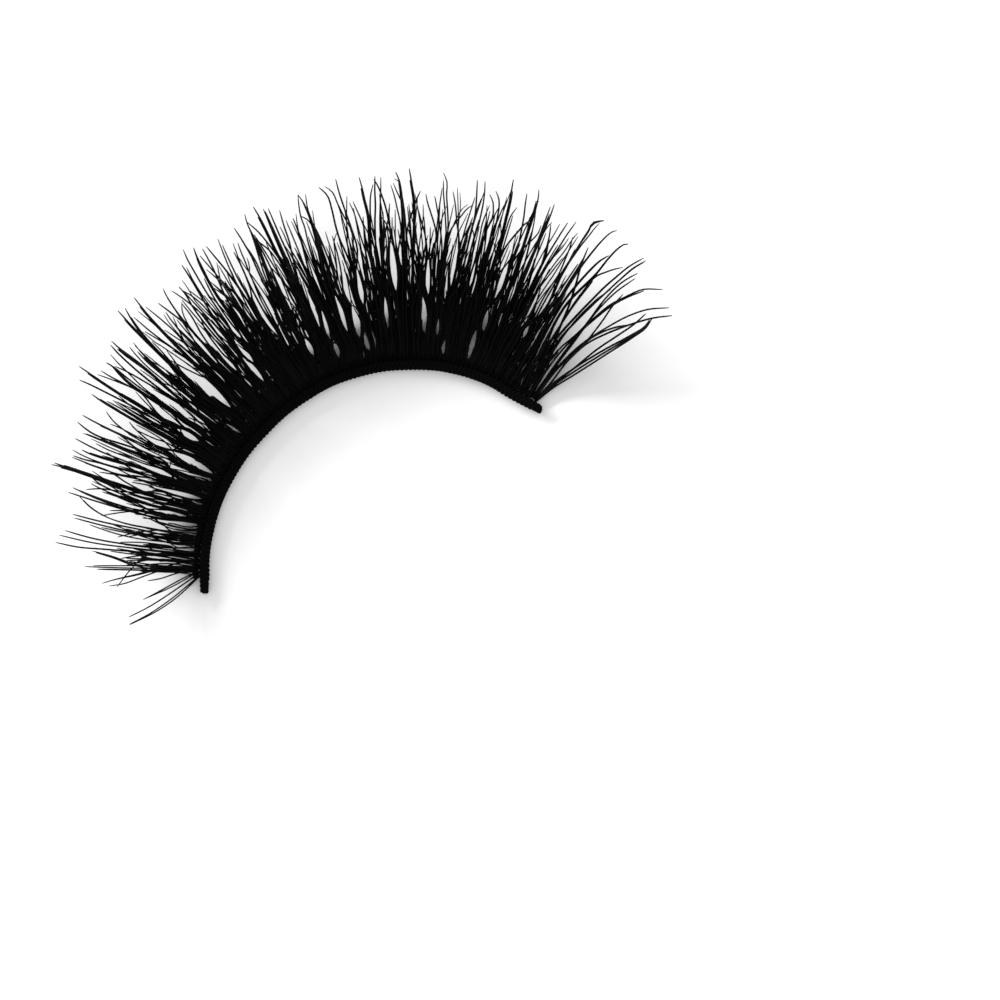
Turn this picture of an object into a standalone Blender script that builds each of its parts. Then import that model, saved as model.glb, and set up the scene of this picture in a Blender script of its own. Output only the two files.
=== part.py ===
"""False eyelash strip: a curved flat band with a fringe of curled lashes on its outer side.

Metres, +Z up.  The strip lies on the flat glue face of its band.  The origin is at the
middle of the band on that face, +X runs along the chord from the inner corner of the eye
to the outer corner, and +Y is the way the lashes point.
"""

import math
from collections import namedtuple

import bmesh
import bpy
import numpy as np
from mathutils import Vector

# Band, with a bare tab at each end
BAND_LENGTH = 0.0327
BAND_WIDTH = 0.00062
BAND_THICKNESS = 0.0005
BAND_ROUNDING = 0.00011
INNER_TAB_LENGTH = 0.0011
INNER_TAB_WIDTH = 0.00046
OUTER_TAB_LENGTH = 0.0008
OUTER_TAB_WIDTH = 0.0004

# Row of knots that ties the lashes, beside the band
KNOT_ROW_GAP = 0.0001
KNOT_ROW_DIAMETER = 0.00042

# Locks of lashes: the longest reach seen from above, and the full width and depth of a lock
LASH_REACH = 0.013
LOCK_WIDTH = 0.00086
LOCK_DEPTH = 0.0004
LOCK_LEAN_GROWTH = 1.15
SHORT_REACH_SHARE = 0.56
SHORT_WIDTH_SHARE = 0.92

# Neighbouring locks lie in three tiers, each a little above the last and rooted a little deeper
TIERS = 3
TIER_STEP = 0.00002

# Rise of a lash from the floor's plane, in degrees at its root and tip, and how late it comes
Curl = namedtuple("Curl", "root tip growth")
LONG_CURL = Curl(root=9, tip=60, growth=1.15)
SHORT_CURL = Curl(root=-4, tip=52, growth=2.0)

# Facets
LINE_STEPS = 400
BAND_STEPS = 56
KNOT_ROW_STEPS = 44
LONG_STEPS = 7
SHORT_STEPS = 5
ROUNDING_STEPS = 2

# Heading of the band from its chord, in degrees, at shares of the band's length
Heading = namedtuple("Heading", "share degrees")
HEADINGS = [
    Heading(0.00, 61.0), Heading(0.05, 60.5), Heading(0.15, 46.0),
    Heading(0.30, 26.0), Heading(0.50, 2.0), Heading(0.65, -20.0),
    Heading(0.80, -40.5), Heading(0.90, -59.0), Heading(1.00, -55.0),
]

# Width of a lock in shares of its full width, at shares of its length
Width = namedtuple("Width", "share width")
LOCK_WIDTHS = [
    Width(0.00, 0.70), Width(0.14, 1.00), Width(0.45, 0.88),
    Width(0.75, 0.56), Width(0.90, 0.30), Width(1.00, 0.10),
]

# Corners of a lock's section, in shares of its half width and half depth
LOCK_SECTION = [(-1.0, 0.0), (-0.5, -1.0), (0.5, -1.0), (1.0, 0.0), (0.5, 1.0), (-0.5, 1.0)]

# Long locks from the inner corner to the outer corner: root and tip in shares of the
# knot row's length, and reach in shares of LASH_REACH
Lock = namedtuple("Lock", "root tip reach")
LONG_LOCKS = [
    Lock(0.005, -0.105, 0.36), Lock(0.015, -0.020, 0.48), Lock(0.025, 0.015, 0.58),
    Lock(0.050, 0.050, 0.75), Lock(0.080, 0.085, 0.67), Lock(0.105, 0.110, 0.72),
    Lock(0.140, 0.140, 0.85), Lock(0.170, 0.160, 0.77), Lock(0.185, 0.180, 0.79),
    Lock(0.205, 0.195, 0.80), Lock(0.240, 0.235, 0.84), Lock(0.260, 0.255, 0.94),
    Lock(0.280, 0.280, 0.83), Lock(0.300, 0.300, 0.88), Lock(0.330, 0.340, 0.95),
    Lock(0.355, 0.360, 0.94), Lock(0.390, 0.395, 0.88), Lock(0.415, 0.410, 0.83),
    Lock(0.435, 0.445, 0.96), Lock(0.465, 0.465, 0.92), Lock(0.495, 0.495, 0.93),
    Lock(0.525, 0.525, 0.95), Lock(0.550, 0.545, 0.97), Lock(0.570, 0.565, 0.92),
    Lock(0.595, 0.590, 0.94), Lock(0.630, 0.620, 0.96), Lock(0.645, 0.640, 0.98),
    Lock(0.670, 0.665, 0.96), Lock(0.700, 0.690, 0.97), Lock(0.720, 0.720, 0.99),
    Lock(0.735, 0.730, 0.90), Lock(0.765, 0.755, 0.98), Lock(0.790, 0.795, 0.96),
    Lock(0.805, 0.805, 0.95), Lock(0.830, 0.830, 1.00), Lock(0.860, 0.855, 0.98),
    Lock(0.880, 0.875, 0.95), Lock(0.905, 0.910, 0.92), Lock(0.925, 0.940, 0.98),
    Lock(0.940, 0.970, 0.97), Lock(0.955, 0.995, 0.94), Lock(0.970, 1.045, 0.92),
    Lock(0.980, 1.090, 0.88), Lock(0.985, 1.130, 0.82), Lock(0.990, 1.180, 0.75),
    Lock(1.000, 1.160, 0.66),
]

BandLine = namedtuple("BandLine", "share x y heading")


def trace_band_line():
    """Walk the band's middle line through its headings, with its middle at the origin."""
    share = np.linspace(0.0, 1.0, LINE_STEPS + 1)
    stations = [row.share for row in HEADINGS]
    heading = np.radians(np.interp(share, stations, [row.degrees for row in HEADINGS]))
    between = (heading[1:] + heading[:-1]) / 2
    step = BAND_LENGTH / LINE_STEPS
    x = np.concatenate(([0.0], np.cumsum(np.cos(between)) * step))
    y = np.concatenate(([0.0], np.cumsum(np.sin(between)) * step))
    middle = LINE_STEPS // 2
    return BandLine(share, x - x[middle], y - y[middle], heading)


BAND_LINE = trace_band_line()


def place(along, out, up):
    """Turn a length along the band, a distance out from its line and a height into a point.

    Past the ends of the band the line runs straight on.
    """
    inside = min(max(along, 0.0), BAND_LENGTH)
    share = inside / BAND_LENGTH
    heading = float(np.interp(share, BAND_LINE.share, BAND_LINE.heading))
    x = float(np.interp(share, BAND_LINE.share, BAND_LINE.x))
    y = float(np.interp(share, BAND_LINE.share, BAND_LINE.y))
    x += (along - inside) * math.cos(heading) - out * math.sin(heading)
    y += (along - inside) * math.sin(heading) + out * math.cos(heading)
    return Vector((x, y, up))


def band_width(along):
    """Width of the band, which narrows over the first stretch of each bare tab."""
    lashes_end = BAND_LENGTH - OUTER_TAB_LENGTH
    stations = [INNER_TAB_LENGTH / 2, INNER_TAB_LENGTH, lashes_end, lashes_end + OUTER_TAB_LENGTH / 2]
    return float(np.interp(along, stations, [INNER_TAB_WIDTH, BAND_WIDTH, BAND_WIDTH, OUTER_TAB_WIDTH]))


def lock_width(share):
    """Width of a lock at a share of its length, in shares of its full width."""
    return float(np.interp(share, [row.share for row in LOCK_WIDTHS], [row.width for row in LOCK_WIDTHS]))


def make_material(name, colour, roughness):
    """Make a plain Principled material."""
    material = bpy.data.materials.new(name)
    material.use_nodes = True
    shader = material.node_tree.nodes["Principled BSDF"]
    shader.inputs["Base Color"].default_value = (*colour, 1.0)
    shader.inputs["Roughness"].default_value = roughness
    shader.inputs["Metallic"].default_value = 0.0
    material.diffuse_color = (*colour, 1.0)
    return material


def make_collection(name):
    """Make a collection under the scene's own."""
    collection = bpy.data.collections.new(name)
    bpy.context.scene.collection.children.link(collection)
    return collection


def make_curve(name, points, collection, cyclic=False):
    """Make a curve object of one poly spline; each point is a position and a radius."""
    curve = bpy.data.curves.new(name, "CURVE")
    spline = curve.splines.new("POLY")
    spline.points.add(len(points) - 1)
    for target, (position, radius) in zip(spline.points, points):
        target.co = (*position, 1.0)
        target.radius = radius
    spline.use_cyclic_u = cyclic
    obj = bpy.data.objects.new(name, curve)
    collection.objects.link(obj)
    return obj


def curve_to_mesh(curve_object, name, collection):
    """Replace a curve object with a mesh object of its form, with welded caps."""
    bpy.context.view_layer.update()
    depsgraph = bpy.context.evaluated_depsgraph_get()
    mesh = bpy.data.meshes.new_from_object(curve_object.evaluated_get(depsgraph))
    mesh.name = name
    shape = bmesh.new()
    shape.from_mesh(mesh)
    bmesh.ops.remove_doubles(shape, verts=shape.verts, dist=1e-7)
    bmesh.ops.dissolve_limit(shape, angle_limit=math.radians(0.5), verts=shape.verts, edges=shape.edges)
    bmesh.ops.recalc_face_normals(shape, faces=shape.faces)
    shape.to_mesh(mesh)
    shape.free()
    obj = bpy.data.objects.new(name, mesh)
    obj.matrix_world = curve_object.matrix_world
    collection.objects.link(obj)
    curve = curve_object.data
    bpy.data.objects.remove(curve_object)
    bpy.data.curves.remove(curve)
    return obj


def build_band(parts):
    """Build the flat band from its outline, with narrow bare tabs and rounded edges."""
    lengths = np.linspace(0.0, BAND_LENGTH, BAND_STEPS + 1)
    inner_edge = -BAND_WIDTH / 2
    outline = [place(along, inner_edge, 0.0) for along in lengths]
    outline += [place(along, inner_edge + band_width(along), 0.0) for along in reversed(lengths)]
    curve = make_curve("band_outline", [(point, 1.0) for point in outline], parts, cyclic=True)
    curve.data.dimensions = "2D"
    curve.data.fill_mode = "BOTH"
    curve.data.extrude = BAND_THICKNESS / 2
    curve.location.z = BAND_THICKNESS / 2
    band = curve_to_mesh(curve, "band", parts)
    rounding = band.modifiers.new("Rounded edges", "BEVEL")
    rounding.width = BAND_ROUNDING
    rounding.segments = ROUNDING_STEPS
    rounding.limit_method = "ANGLE"
    rounding.angle_limit = math.radians(50)
    band.data.materials.append(make_material("black_cotton", (0.012, 0.012, 0.013), 0.8))
    return band


def knot_row_along(share):
    """Length along the band at a share of the knot row, which leaves the tabs bare."""
    return INNER_TAB_LENGTH + share * (BAND_LENGTH - INNER_TAB_LENGTH - OUTER_TAB_LENGTH)


def knot_row_out():
    """Distance of the knot row's middle from the band's line."""
    return BAND_WIDTH / 2 + KNOT_ROW_GAP + KNOT_ROW_DIAMETER / 2


def build_knot_row(parts):
    """Build the row of knots as one tube along the band's outer side."""
    points = []
    for share in np.linspace(0.0, 1.0, KNOT_ROW_STEPS + 1):
        points.append((place(knot_row_along(share), knot_row_out(), BAND_THICKNESS / 2), 1.0))
    curve = make_curve("knot_row_line", points, parts)
    curve.data.dimensions = "3D"
    curve.data.twist_mode = "Z_UP"
    curve.data.bevel_depth = KNOT_ROW_DIAMETER / 2
    curve.data.bevel_resolution = 1
    curve.data.use_fill_caps = True
    return curve_to_mesh(curve, "lash_fringe", parts)


def build_lock_section(guides):
    """Build the flat six-sided section that every lock is drawn with."""
    points = []
    for across, upright in LOCK_SECTION:
        points.append((Vector((across * LOCK_WIDTH / 2, upright * LOCK_DEPTH / 2, 0.0)), 1.0))
    section = make_curve("lock_section", points, guides, cyclic=True)
    section.data.dimensions = "2D"
    section.hide_render = True
    section.display_type = "WIRE"
    return section


def curl_profile(curl, steps):
    """Return length, ground covered and height gained along a lash that covers one unit."""
    lengths = np.linspace(0.0, 1.0, LINE_STEPS + 1)
    rise = np.radians(curl.root + (curl.tip - curl.root) * lengths ** curl.growth)
    between = (rise[1:] + rise[:-1]) / 2
    ground = np.concatenate(([0.0], np.cumsum(np.cos(between))))
    height = np.concatenate(([0.0], np.cumsum(np.sin(between))))
    shares = np.linspace(0.0, 1.0, steps + 1)
    covered = np.interp(shares, lengths, ground / ground[-1])
    gained = np.interp(shares, lengths, height / ground[-1])
    return shares, covered, gained


def lock_points(lock, curl, steps, width_share, lift, lies_on_floor):
    """Work out a lock's middle line from its root in the knot row to its tip."""
    shares, covered, gained = curl_profile(curl, steps)
    root_out = knot_row_out() - lift
    reach = lock.reach * LASH_REACH - root_out
    widths = [width_share * lock_width(share) for share in shares]
    heights = reach * gained
    if lies_on_floor:
        undersides = heights - LOCK_DEPTH / 2 * np.array(widths)
        heights = heights - undersides.min()
    else:
        heights = heights + BAND_THICKNESS / 2
    points = []
    for ground, height, width in zip(covered, heights, widths):
        along = knot_row_along(lock.root + (lock.tip - lock.root) * ground ** LOCK_LEAN_GROWTH)
        points.append((place(along, root_out + reach * ground, height + lift), width))
    return points


def build_lock(name, points, section, guides):
    """Build one lock of lashes along its middle line."""
    curve = make_curve(name + "_line", points, guides)
    curve.data.dimensions = "3D"
    curve.data.twist_mode = "Z_UP"
    curve.data.bevel_mode = "OBJECT"
    curve.data.bevel_object = section
    curve.data.use_fill_caps = True
    lock = curve_to_mesh(curve, name, guides)
    lock.hide_render = True
    lock.display_type = "WIRE"
    return lock


def short_locks():
    """Place a short lock between each two long ones."""
    locks = []
    for left, right in zip(LONG_LOCKS, LONG_LOCKS[1:]):
        root = (left.root + right.root) / 2
        tip = root + (left.tip + right.tip - left.root - right.root) / 4
        locks.append(Lock(root, tip, SHORT_REACH_SHARE * (left.reach + right.reach) / 2))
    return locks


def apply_union(obj, union):
    """Make the union the object's own mesh, without the corners at which only two edges meet."""
    bpy.context.view_layer.update()
    depsgraph = bpy.context.evaluated_depsgraph_get()
    mesh = bpy.data.meshes.new_from_object(obj.evaluated_get(depsgraph))
    obj.modifiers.remove(union)
    shape = bmesh.new()
    shape.from_mesh(mesh)
    spare = [vert for vert in shape.verts if len(vert.link_edges) == 2]
    bmesh.ops.dissolve_verts(shape, verts=spare)
    shape.to_mesh(mesh)
    shape.free()
    obj.data = mesh


def build_fringe(parts, guides):
    """Build the fringe: every lock joined to the knot row in one solid."""
    fringe = build_knot_row(parts)
    section = build_lock_section(guides)
    for number, lock in enumerate(LONG_LOCKS):
        lift = number % TIERS * TIER_STEP
        points = lock_points(lock, LONG_CURL, LONG_STEPS, 1.0, lift, lies_on_floor=False)
        build_lock(f"long_lock_{number}", points, section, guides)
    for number, lock in enumerate(short_locks()):
        lift = number % TIERS * TIER_STEP
        points = lock_points(lock, SHORT_CURL, SHORT_STEPS, SHORT_WIDTH_SHARE, lift, lies_on_floor=True)
        build_lock(f"short_lock_{number}", points, section, guides)
    bpy.data.objects.remove(section)
    union = fringe.modifiers.new("Locks", "BOOLEAN")
    union.operation = "UNION"
    union.operand_type = "COLLECTION"
    union.collection = guides
    union.solver = "EXACT"
    apply_union(fringe, union)
    fringe.data.materials.append(make_material("black_lash_fibre", (0.008, 0.008, 0.009), 0.42))
    return fringe


def main():
    """Build the strip from an empty scene."""
    for obj in list(bpy.data.objects):
        bpy.data.objects.remove(obj, do_unlink=True)
    parts = make_collection("false_eyelash_strip")
    guides = make_collection("lock_cutters")
    build_band(parts)
    build_fringe(parts, guides)


main()
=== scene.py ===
import math
from collections import namedtuple

import bpy
import numpy as np
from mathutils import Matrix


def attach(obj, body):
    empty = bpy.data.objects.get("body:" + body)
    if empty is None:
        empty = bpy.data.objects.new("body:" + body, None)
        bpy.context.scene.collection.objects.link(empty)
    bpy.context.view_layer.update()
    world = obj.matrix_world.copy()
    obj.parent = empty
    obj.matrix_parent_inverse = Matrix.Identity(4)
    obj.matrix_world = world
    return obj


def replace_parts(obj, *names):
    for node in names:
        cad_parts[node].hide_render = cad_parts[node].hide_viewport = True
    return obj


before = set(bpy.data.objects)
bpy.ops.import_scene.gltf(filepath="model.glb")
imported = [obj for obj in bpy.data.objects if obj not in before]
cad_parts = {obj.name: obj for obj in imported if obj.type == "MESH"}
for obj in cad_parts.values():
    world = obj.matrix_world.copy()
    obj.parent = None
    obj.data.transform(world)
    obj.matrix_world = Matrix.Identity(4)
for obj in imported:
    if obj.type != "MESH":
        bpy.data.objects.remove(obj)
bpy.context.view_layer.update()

MM = 0.001

# The band and its row of knots, in millimetres, as the solids have them
BAND_LENGTH = 32.7
BAND_WIDTH = 0.62
BAND_THICKNESS = 0.5
INNER_TAB_LENGTH = 1.1
OUTER_TAB_LENGTH = 0.8
LASHES_END = BAND_LENGTH - OUTER_TAB_LENGTH
KNOT_ROW_OUT = 0.62
KNOT_ROW_HEIGHT = 0.25
LINE_STEPS = 400

# Heading of the band from its chord, in degrees, at shares of the band's length
Heading = namedtuple("Heading", "share degrees")
HEADINGS = [
    Heading(0.00, 61.0), Heading(0.05, 60.5), Heading(0.15, 46.0),
    Heading(0.30, 26.0), Heading(0.50, 2.0), Heading(0.65, -20.0),
    Heading(0.80, -40.5), Heading(0.90, -59.0), Heading(1.00, -55.0),
]

# Camera straight above: the point below it, its distance and its lens in millimetres, and its
# turn in degrees
CAMERA_OVER = np.array((7.527, -12.413))
CAMERA_DISTANCE = 561.2
CAMERA_TURN = -28.4
CAMERA_LENS = 300
CAMERA_SENSOR = 36

# Light: a low, soft box beyond the lashes, and an even fill from all round. The box's heading
# from the strip and its elevation in degrees; its distance, width and height in metres; its watts
KEY_HEADING = 107.0
KEY_ELEVATION = 22.5
KEY_DISTANCE = 1.5
KEY_WIDTH = 1.25
KEY_HEIGHT = 0.16
KEY_POWER = 33.0
FILL_STRENGTH = 0.83
FLOOR_SIZE = 2.0
FLOOR_DROP = 0.00002

# Locks of long lashes: the root and tip along the band, and the tip's distance out, in
# millimetres; the number of lashes; and how far apart their tips stand
Lock = namedtuple("Lock", "root tip reach count open")
LOCKS = [
    Lock(1.50, 1.48, 7.2, 2, 0.10), Lock(1.75, 1.68, 7.9, 2, 0.10), Lock(2.00, 2.20, 7.6, 4, 0.20),
    Lock(2.50, 2.50, 8.5, 4, 0.12), Lock(2.70, 2.90, 8.2, 4, 0.14), Lock(3.40, 3.58, 9.1, 5, 0.14),
    Lock(4.10, 4.50, 9.7, 5, 0.16), Lock(5.15, 4.95, 8.4, 4, 0.20), Lock(5.35, 5.38, 11.3, 7, 0.03),
    Lock(6.25, 5.95, 10.3, 3, 0.14), Lock(6.55, 6.50, 10.5, 3, 0.16), Lock(7.20, 7.05, 10.8, 3, 0.12),
    Lock(7.50, 7.42, 10.7, 3, 0.10), Lock(8.35, 8.30, 10.8, 5, 0.12), Lock(8.75, 8.55, 12.0, 3, 0.06),
    Lock(9.00, 8.98, 12.5, 5, 0.04), Lock(9.60, 9.55, 11.1, 5, 0.16), Lock(10.30, 10.35, 11.6, 6, 0.16),
    Lock(10.90, 10.75, 10.5, 6, 0.14), Lock(11.25, 11.55, 12.6, 6, 0.12),
    Lock(12.05, 12.18, 12.5, 5, 0.03), Lock(12.60, 12.65, 11.0, 4, 0.14),
    Lock(13.05, 13.25, 11.6, 4, 0.16), Lock(13.85, 13.75, 11.0, 4, 0.16),
    Lock(14.25, 14.70, 12.8, 5, 0.10), Lock(14.75, 15.08, 12.5, 5, 0.05),
    Lock(15.40, 15.40, 12.2, 6, 0.14), Lock(15.95, 16.05, 12.1, 8, 0.10),
    Lock(16.65, 16.75, 12.3, 8, 0.10), Lock(17.20, 17.25, 12.6, 11, 0.12),
    Lock(17.95, 17.78, 12.9, 8, 0.08), Lock(18.20, 18.08, 12.6, 8, 0.08),
    Lock(18.65, 18.50, 12.1, 8, 0.10), Lock(19.30, 19.10, 11.5, 9, 0.14),
    Lock(19.60, 19.40, 12.5, 12, 0.08), Lock(20.45, 20.15, 12.7, 8, 0.08),
    Lock(20.85, 20.75, 13.0, 8, 0.08), Lock(21.40, 21.30, 11.3, 7, 0.12),
    Lock(21.80, 21.60, 12.8, 8, 0.06), Lock(22.05, 22.10, 12.5, 9, 0.12),
    Lock(22.70, 22.35, 12.6, 8, 0.12), Lock(22.95, 22.88, 13.0, 9, 0.05),
    Lock(23.40, 23.30, 13.1, 10, 0.06), Lock(23.80, 23.65, 11.6, 9, 0.14),
    Lock(24.30, 24.05, 11.4, 8, 0.14), Lock(24.65, 24.45, 12.9, 10, 0.10),
    Lock(24.95, 24.85, 11.7, 9, 0.14), Lock(25.45, 25.60, 12.8, 10, 0.08),
    Lock(25.95, 25.88, 12.8, 11, 0.08), Lock(26.35, 26.40, 12.0, 11, 0.16),
    Lock(26.75, 26.72, 13.3, 10, 0.06), Lock(27.15, 27.10, 11.6, 9, 0.12),
    Lock(27.45, 27.35, 12.7, 9, 0.08), Lock(27.75, 27.62, 13.2, 9, 0.05),
    Lock(28.25, 28.10, 12.6, 8, 0.08), Lock(28.65, 28.80, 12.0, 11, 0.14),
    Lock(29.05, 29.15, 12.0, 9, 0.12), Lock(29.60, 29.75, 9.6, 5, 0.14), Lock(30.20, 30.10, 9.6, 3, 0.34),
    Lock(30.70, 30.60, 8.8, 3, 0.20), Lock(31.15, 31.00, 7.8, 2, 0.25),
]

# Partings between the locks: the near and far end as lengths along the band and distances
# out from it, and the widest opening, in millimetres
Parting = namedtuple("Parting", "near_along near_out far_along far_out width")
PARTINGS = [
    Parting(2.35, 0.3, 2.35, 1.0, 0.12), Parting(2.90, 0.4, 2.75, 1.9, 0.14),
    Parting(4.55, 0.7, 4.15, 3.2, 0.24), Parting(4.85, 1.3, 4.65, 4.2, 0.16),
    Parting(6.15, 0.8, 5.80, 3.9, 0.20), Parting(6.75, 3.4, 6.65, 7.0, 0.16),
    Parting(7.55, 0.9, 7.05, 3.5, 0.14), Parting(7.85, 1.0, 7.90, 4.3, 0.36),
    Parting(7.95, 4.2, 8.00, 8.0, 0.34), Parting(9.00, 3.0, 9.02, 4.6, 0.26),
    Parting(9.20, 4.4, 9.30, 8.6, 0.30), Parting(9.95, 4.0, 9.80, 8.8, 0.28),
    Parting(10.10, 3.1, 10.05, 5.2, 0.12), Parting(10.95, 0.8, 10.75, 2.3, 0.18),
    Parting(11.70, 2.6, 11.62, 8.2, 0.44), Parting(13.40, 3.9, 13.35, 9.6, 0.30),
    Parting(14.15, 2.4, 14.05, 4.6, 0.24), Parting(14.32, 3.9, 14.20, 5.6, 0.18),
    Parting(14.50, 5.5, 14.60, 8.6, 0.22), Parting(16.20, 4.4, 16.10, 7.4, 0.18),
    Parting(16.45, 4.9, 16.50, 8.6, 0.18), Parting(17.38, 2.0, 17.35, 3.3, 0.28),
    Parting(18.38, 3.4, 18.35, 7.4, 0.18), Parting(18.75, 1.2, 18.72, 2.5, 0.30),
    Parting(18.60, 2.4, 18.70, 4.6, 0.18), Parting(19.72, 2.6, 19.55, 5.2, 0.20),
    Parting(20.65, 1.1, 20.45, 2.4, 0.30), Parting(20.25, 0.7, 20.20, 1.4, 0.10),
    Parting(20.25, 2.1, 20.25, 4.2, 0.34), Parting(20.18, 4.4, 20.05, 8.2, 0.22),
    Parting(20.80, 4.2, 20.72, 6.6, 0.18), Parting(21.90, 2.3, 21.88, 4.8, 0.20),
    Parting(22.50, 5.0, 22.35, 8.0, 0.28), Parting(24.08, 1.9, 23.80, 4.5, 0.30),
    Parting(24.10, 4.5, 23.95, 6.8, 0.20), Parting(24.75, 1.9, 24.72, 3.2, 0.18),
    Parting(25.20, 0.7, 25.22, 1.8, 0.28), Parting(25.15, 5.2, 25.15, 7.8, 0.12),
    Parting(26.05, 5.5, 26.08, 7.4, 0.08), Parting(26.83, 0.6, 26.85, 2.9, 0.28),
    Parting(27.22, 2.9, 27.08, 4.4, 0.20), Parting(27.20, 4.9, 27.30, 8.2, 0.14),
    Parting(29.20, 3.5, 29.15, 4.5, 0.16), Parting(29.28, 4.9, 29.22, 8.0, 0.20),
    Parting(30.50, 2.5, 30.48, 6.0, 0.22), Parting(30.88, 1.9, 30.85, 3.1, 0.20),
]

# Wisps drawn one by one: how many lashes, how far apart they lie, and points along the band
# and out from it, in millimetres
Wisp = namedtuple("Wisp", "count spread points")
INNER_WISPS = [
    Wisp(2, 0.14, [(1.30, 0.2), (0.55, 1.0), (-0.4, 2.1), (-1.3, 3.4), (-2.15, 5.0)]),
    Wisp(1, 0.00, [(1.40, 0.3), (0.75, 1.2), (-0.1, 2.4), (-1.0, 3.8), (-1.65, 5.05)]),
    Wisp(2, 0.16, [(1.50, 0.4), (1.00, 1.3), (0.45, 2.3), (-0.05, 3.3), (-0.43, 4.1)]),
    Wisp(1, 0.00, [(1.60, 0.5), (1.3, 2.0), (1.0, 2.9), (0.83, 3.8)]),
    Wisp(1, 0.00, [(1.62, 0.4), (1.50, 2.9), (1.05, 4.2), (0.6, 5.4), (0.43, 6.4)]),
    Wisp(2, 0.09, [(1.65, 0.4), (1.58, 3.1), (1.2, 4.6), (0.88, 6.0), (0.62, 6.9)]),
    Wisp(2, 0.08, [(1.60, 0.4), (1.62, 2.8), (1.80, 4.8), (2.1, 6.2), (2.3, 7.6)]),
    Wisp(1, 0.00, [(2.5, 0.5), (2.45, 3.0), (2.2, 4.1), (1.57, 4.9), (0.9, 5.45), (0.35, 5.85)]),
    Wisp(2, 0.05, [(3.75, 0.5), (3.70, 4.0), (3.72, 5.6), (3.86, 7.0), (4.14, 8.2), (4.5, 9.1)]),
]
OUTER_WISPS = [
    Wisp(3, 0.19, [(32.0, 0.3), (32.5, 1.6), (33.4, 3.2), (34.8, 5.5), (35.9, 7.2), (36.4, 8.1),
                   (36.5, 8.85)]),
    Wisp(1, 0.00, [(32.0, 0.4), (32.4, 1.5), (33.3, 3.4), (34.2, 5.4), (35.0, 6.8), (35.7, 8.1),
                   (36.0, 8.9)]),
    Wisp(1, 0.00, [(31.9, 0.4), (32.3, 1.6), (32.7, 3.6), (33.4, 5.4), (34.3, 6.6), (35.4, 7.8),
                   (36.6, 8.9), (37.65, 9.6)]),
    Wisp(1, 0.00, [(31.7, 0.5), (31.9, 1.9), (32.4, 3.4), (33.1, 5.2), (34.1, 6.9), (35.1, 8.3),
                   (36.0, 9.2), (37.25, 9.95)]),
    Wisp(1, 0.00, [(31.8, 0.5), (32.1, 2.2), (32.9, 4.6), (33.7, 6.2), (34.6, 7.2), (35.4, 7.8)]),
    Wisp(1, 0.00, [(31.5, 0.5), (31.5, 2.6), (31.8, 4.2), (32.4, 5.5), (33.0, 7.0), (33.7, 8.5),
                   (34.3, 9.3), (35.1, 10.25), (36.3, 10.85)]),
    Wisp(1, 0.00, [(31.6, 0.5), (31.7, 2.6), (32.0, 4.2), (32.5, 5.6), (33.1, 7.1), (33.75, 8.45),
                   (34.5, 9.5), (35.2, 10.25)]),
    Wisp(1, 0.00, [(31.9, 0.5), (32.3, 2.8), (33.2, 5.2), (33.6, 7.1), (33.8, 8.5), (34.05, 9.4)]),
    Wisp(1, 0.00, [(31.7, 0.5), (32.2, 4.0), (32.8, 6.8), (33.1, 8.5), (33.7, 10.2), (34.3, 11.1)]),
    Wisp(1, 0.00, [(31.8, 0.5), (32.2, 3.4), (32.6, 5.4), (33.0, 7.6), (33.6, 9.4), (34.3, 10.7)]),
    Wisp(2, 0.06, [(31.2, 0.5), (31.1, 2.6), (31.25, 4.8), (31.80, 6.8), (32.45, 8.6),
                   (33.1, 10.2), (33.6, 11.3), (34.2, 12.2)]),
    Wisp(2, 0.06, [(31.4, 0.5), (31.3, 2.8), (31.5, 4.9), (32.1, 6.8), (32.80, 8.5),
                   (33.45, 10.2), (33.95, 11.35), (34.45, 12.1)]),
    Wisp(1, 0.00, [(31.5, 0.5), (31.5, 4.0), (31.9, 6.4), (32.5, 8.0), (33.2, 9.3)]),
    Wisp(2, 0.08, [(30.9, 0.5), (30.6, 4.5), (30.7, 7.3), (31.1, 8.5), (31.6, 9.8), (31.95, 11.2),
                   (32.3, 12.05), (32.55, 12.4), (32.85, 12.58)]),
    Wisp(1, 0.00, [(31.1, 0.5), (31.0, 5.0), (31.25, 8.2), (31.7, 9.75), (32.3, 10.3), (33.2, 11.05)]),
    Wisp(2, 0.06, [(30.7, 0.5), (30.3, 5.0), (30.4, 7.6), (30.7, 8.9), (31.0, 9.9), (31.4, 10.8),
                   (31.8, 11.3)]),
    Wisp(1, 0.00, [(30.9, 0.5), (30.9, 4.0), (31.05, 6.2), (31.25, 7.7), (31.6, 9.3)]),
    Wisp(2, 0.07, [(30.5, 0.5), (30.1, 5.0), (30.05, 8.0), (30.2, 9.9), (30.4, 11.0),
                   (30.7, 12.1), (31.05, 12.8), (31.4, 13.05)]),
    Wisp(1, 0.00, [(29.6, 0.5), (29.3, 4.0), (29.22, 7.0), (29.28, 9.9), (29.34, 11.8),
                   (29.45, 12.9), (29.9, 13.2)]),
    Wisp(2, 0.05, [(31.4, 0.5), (31.3, 3.5), (31.05, 5.6), (30.85, 7.2), (30.5, 8.6), (30.1, 9.9),
                   (29.88, 11.1)]),
]

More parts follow.
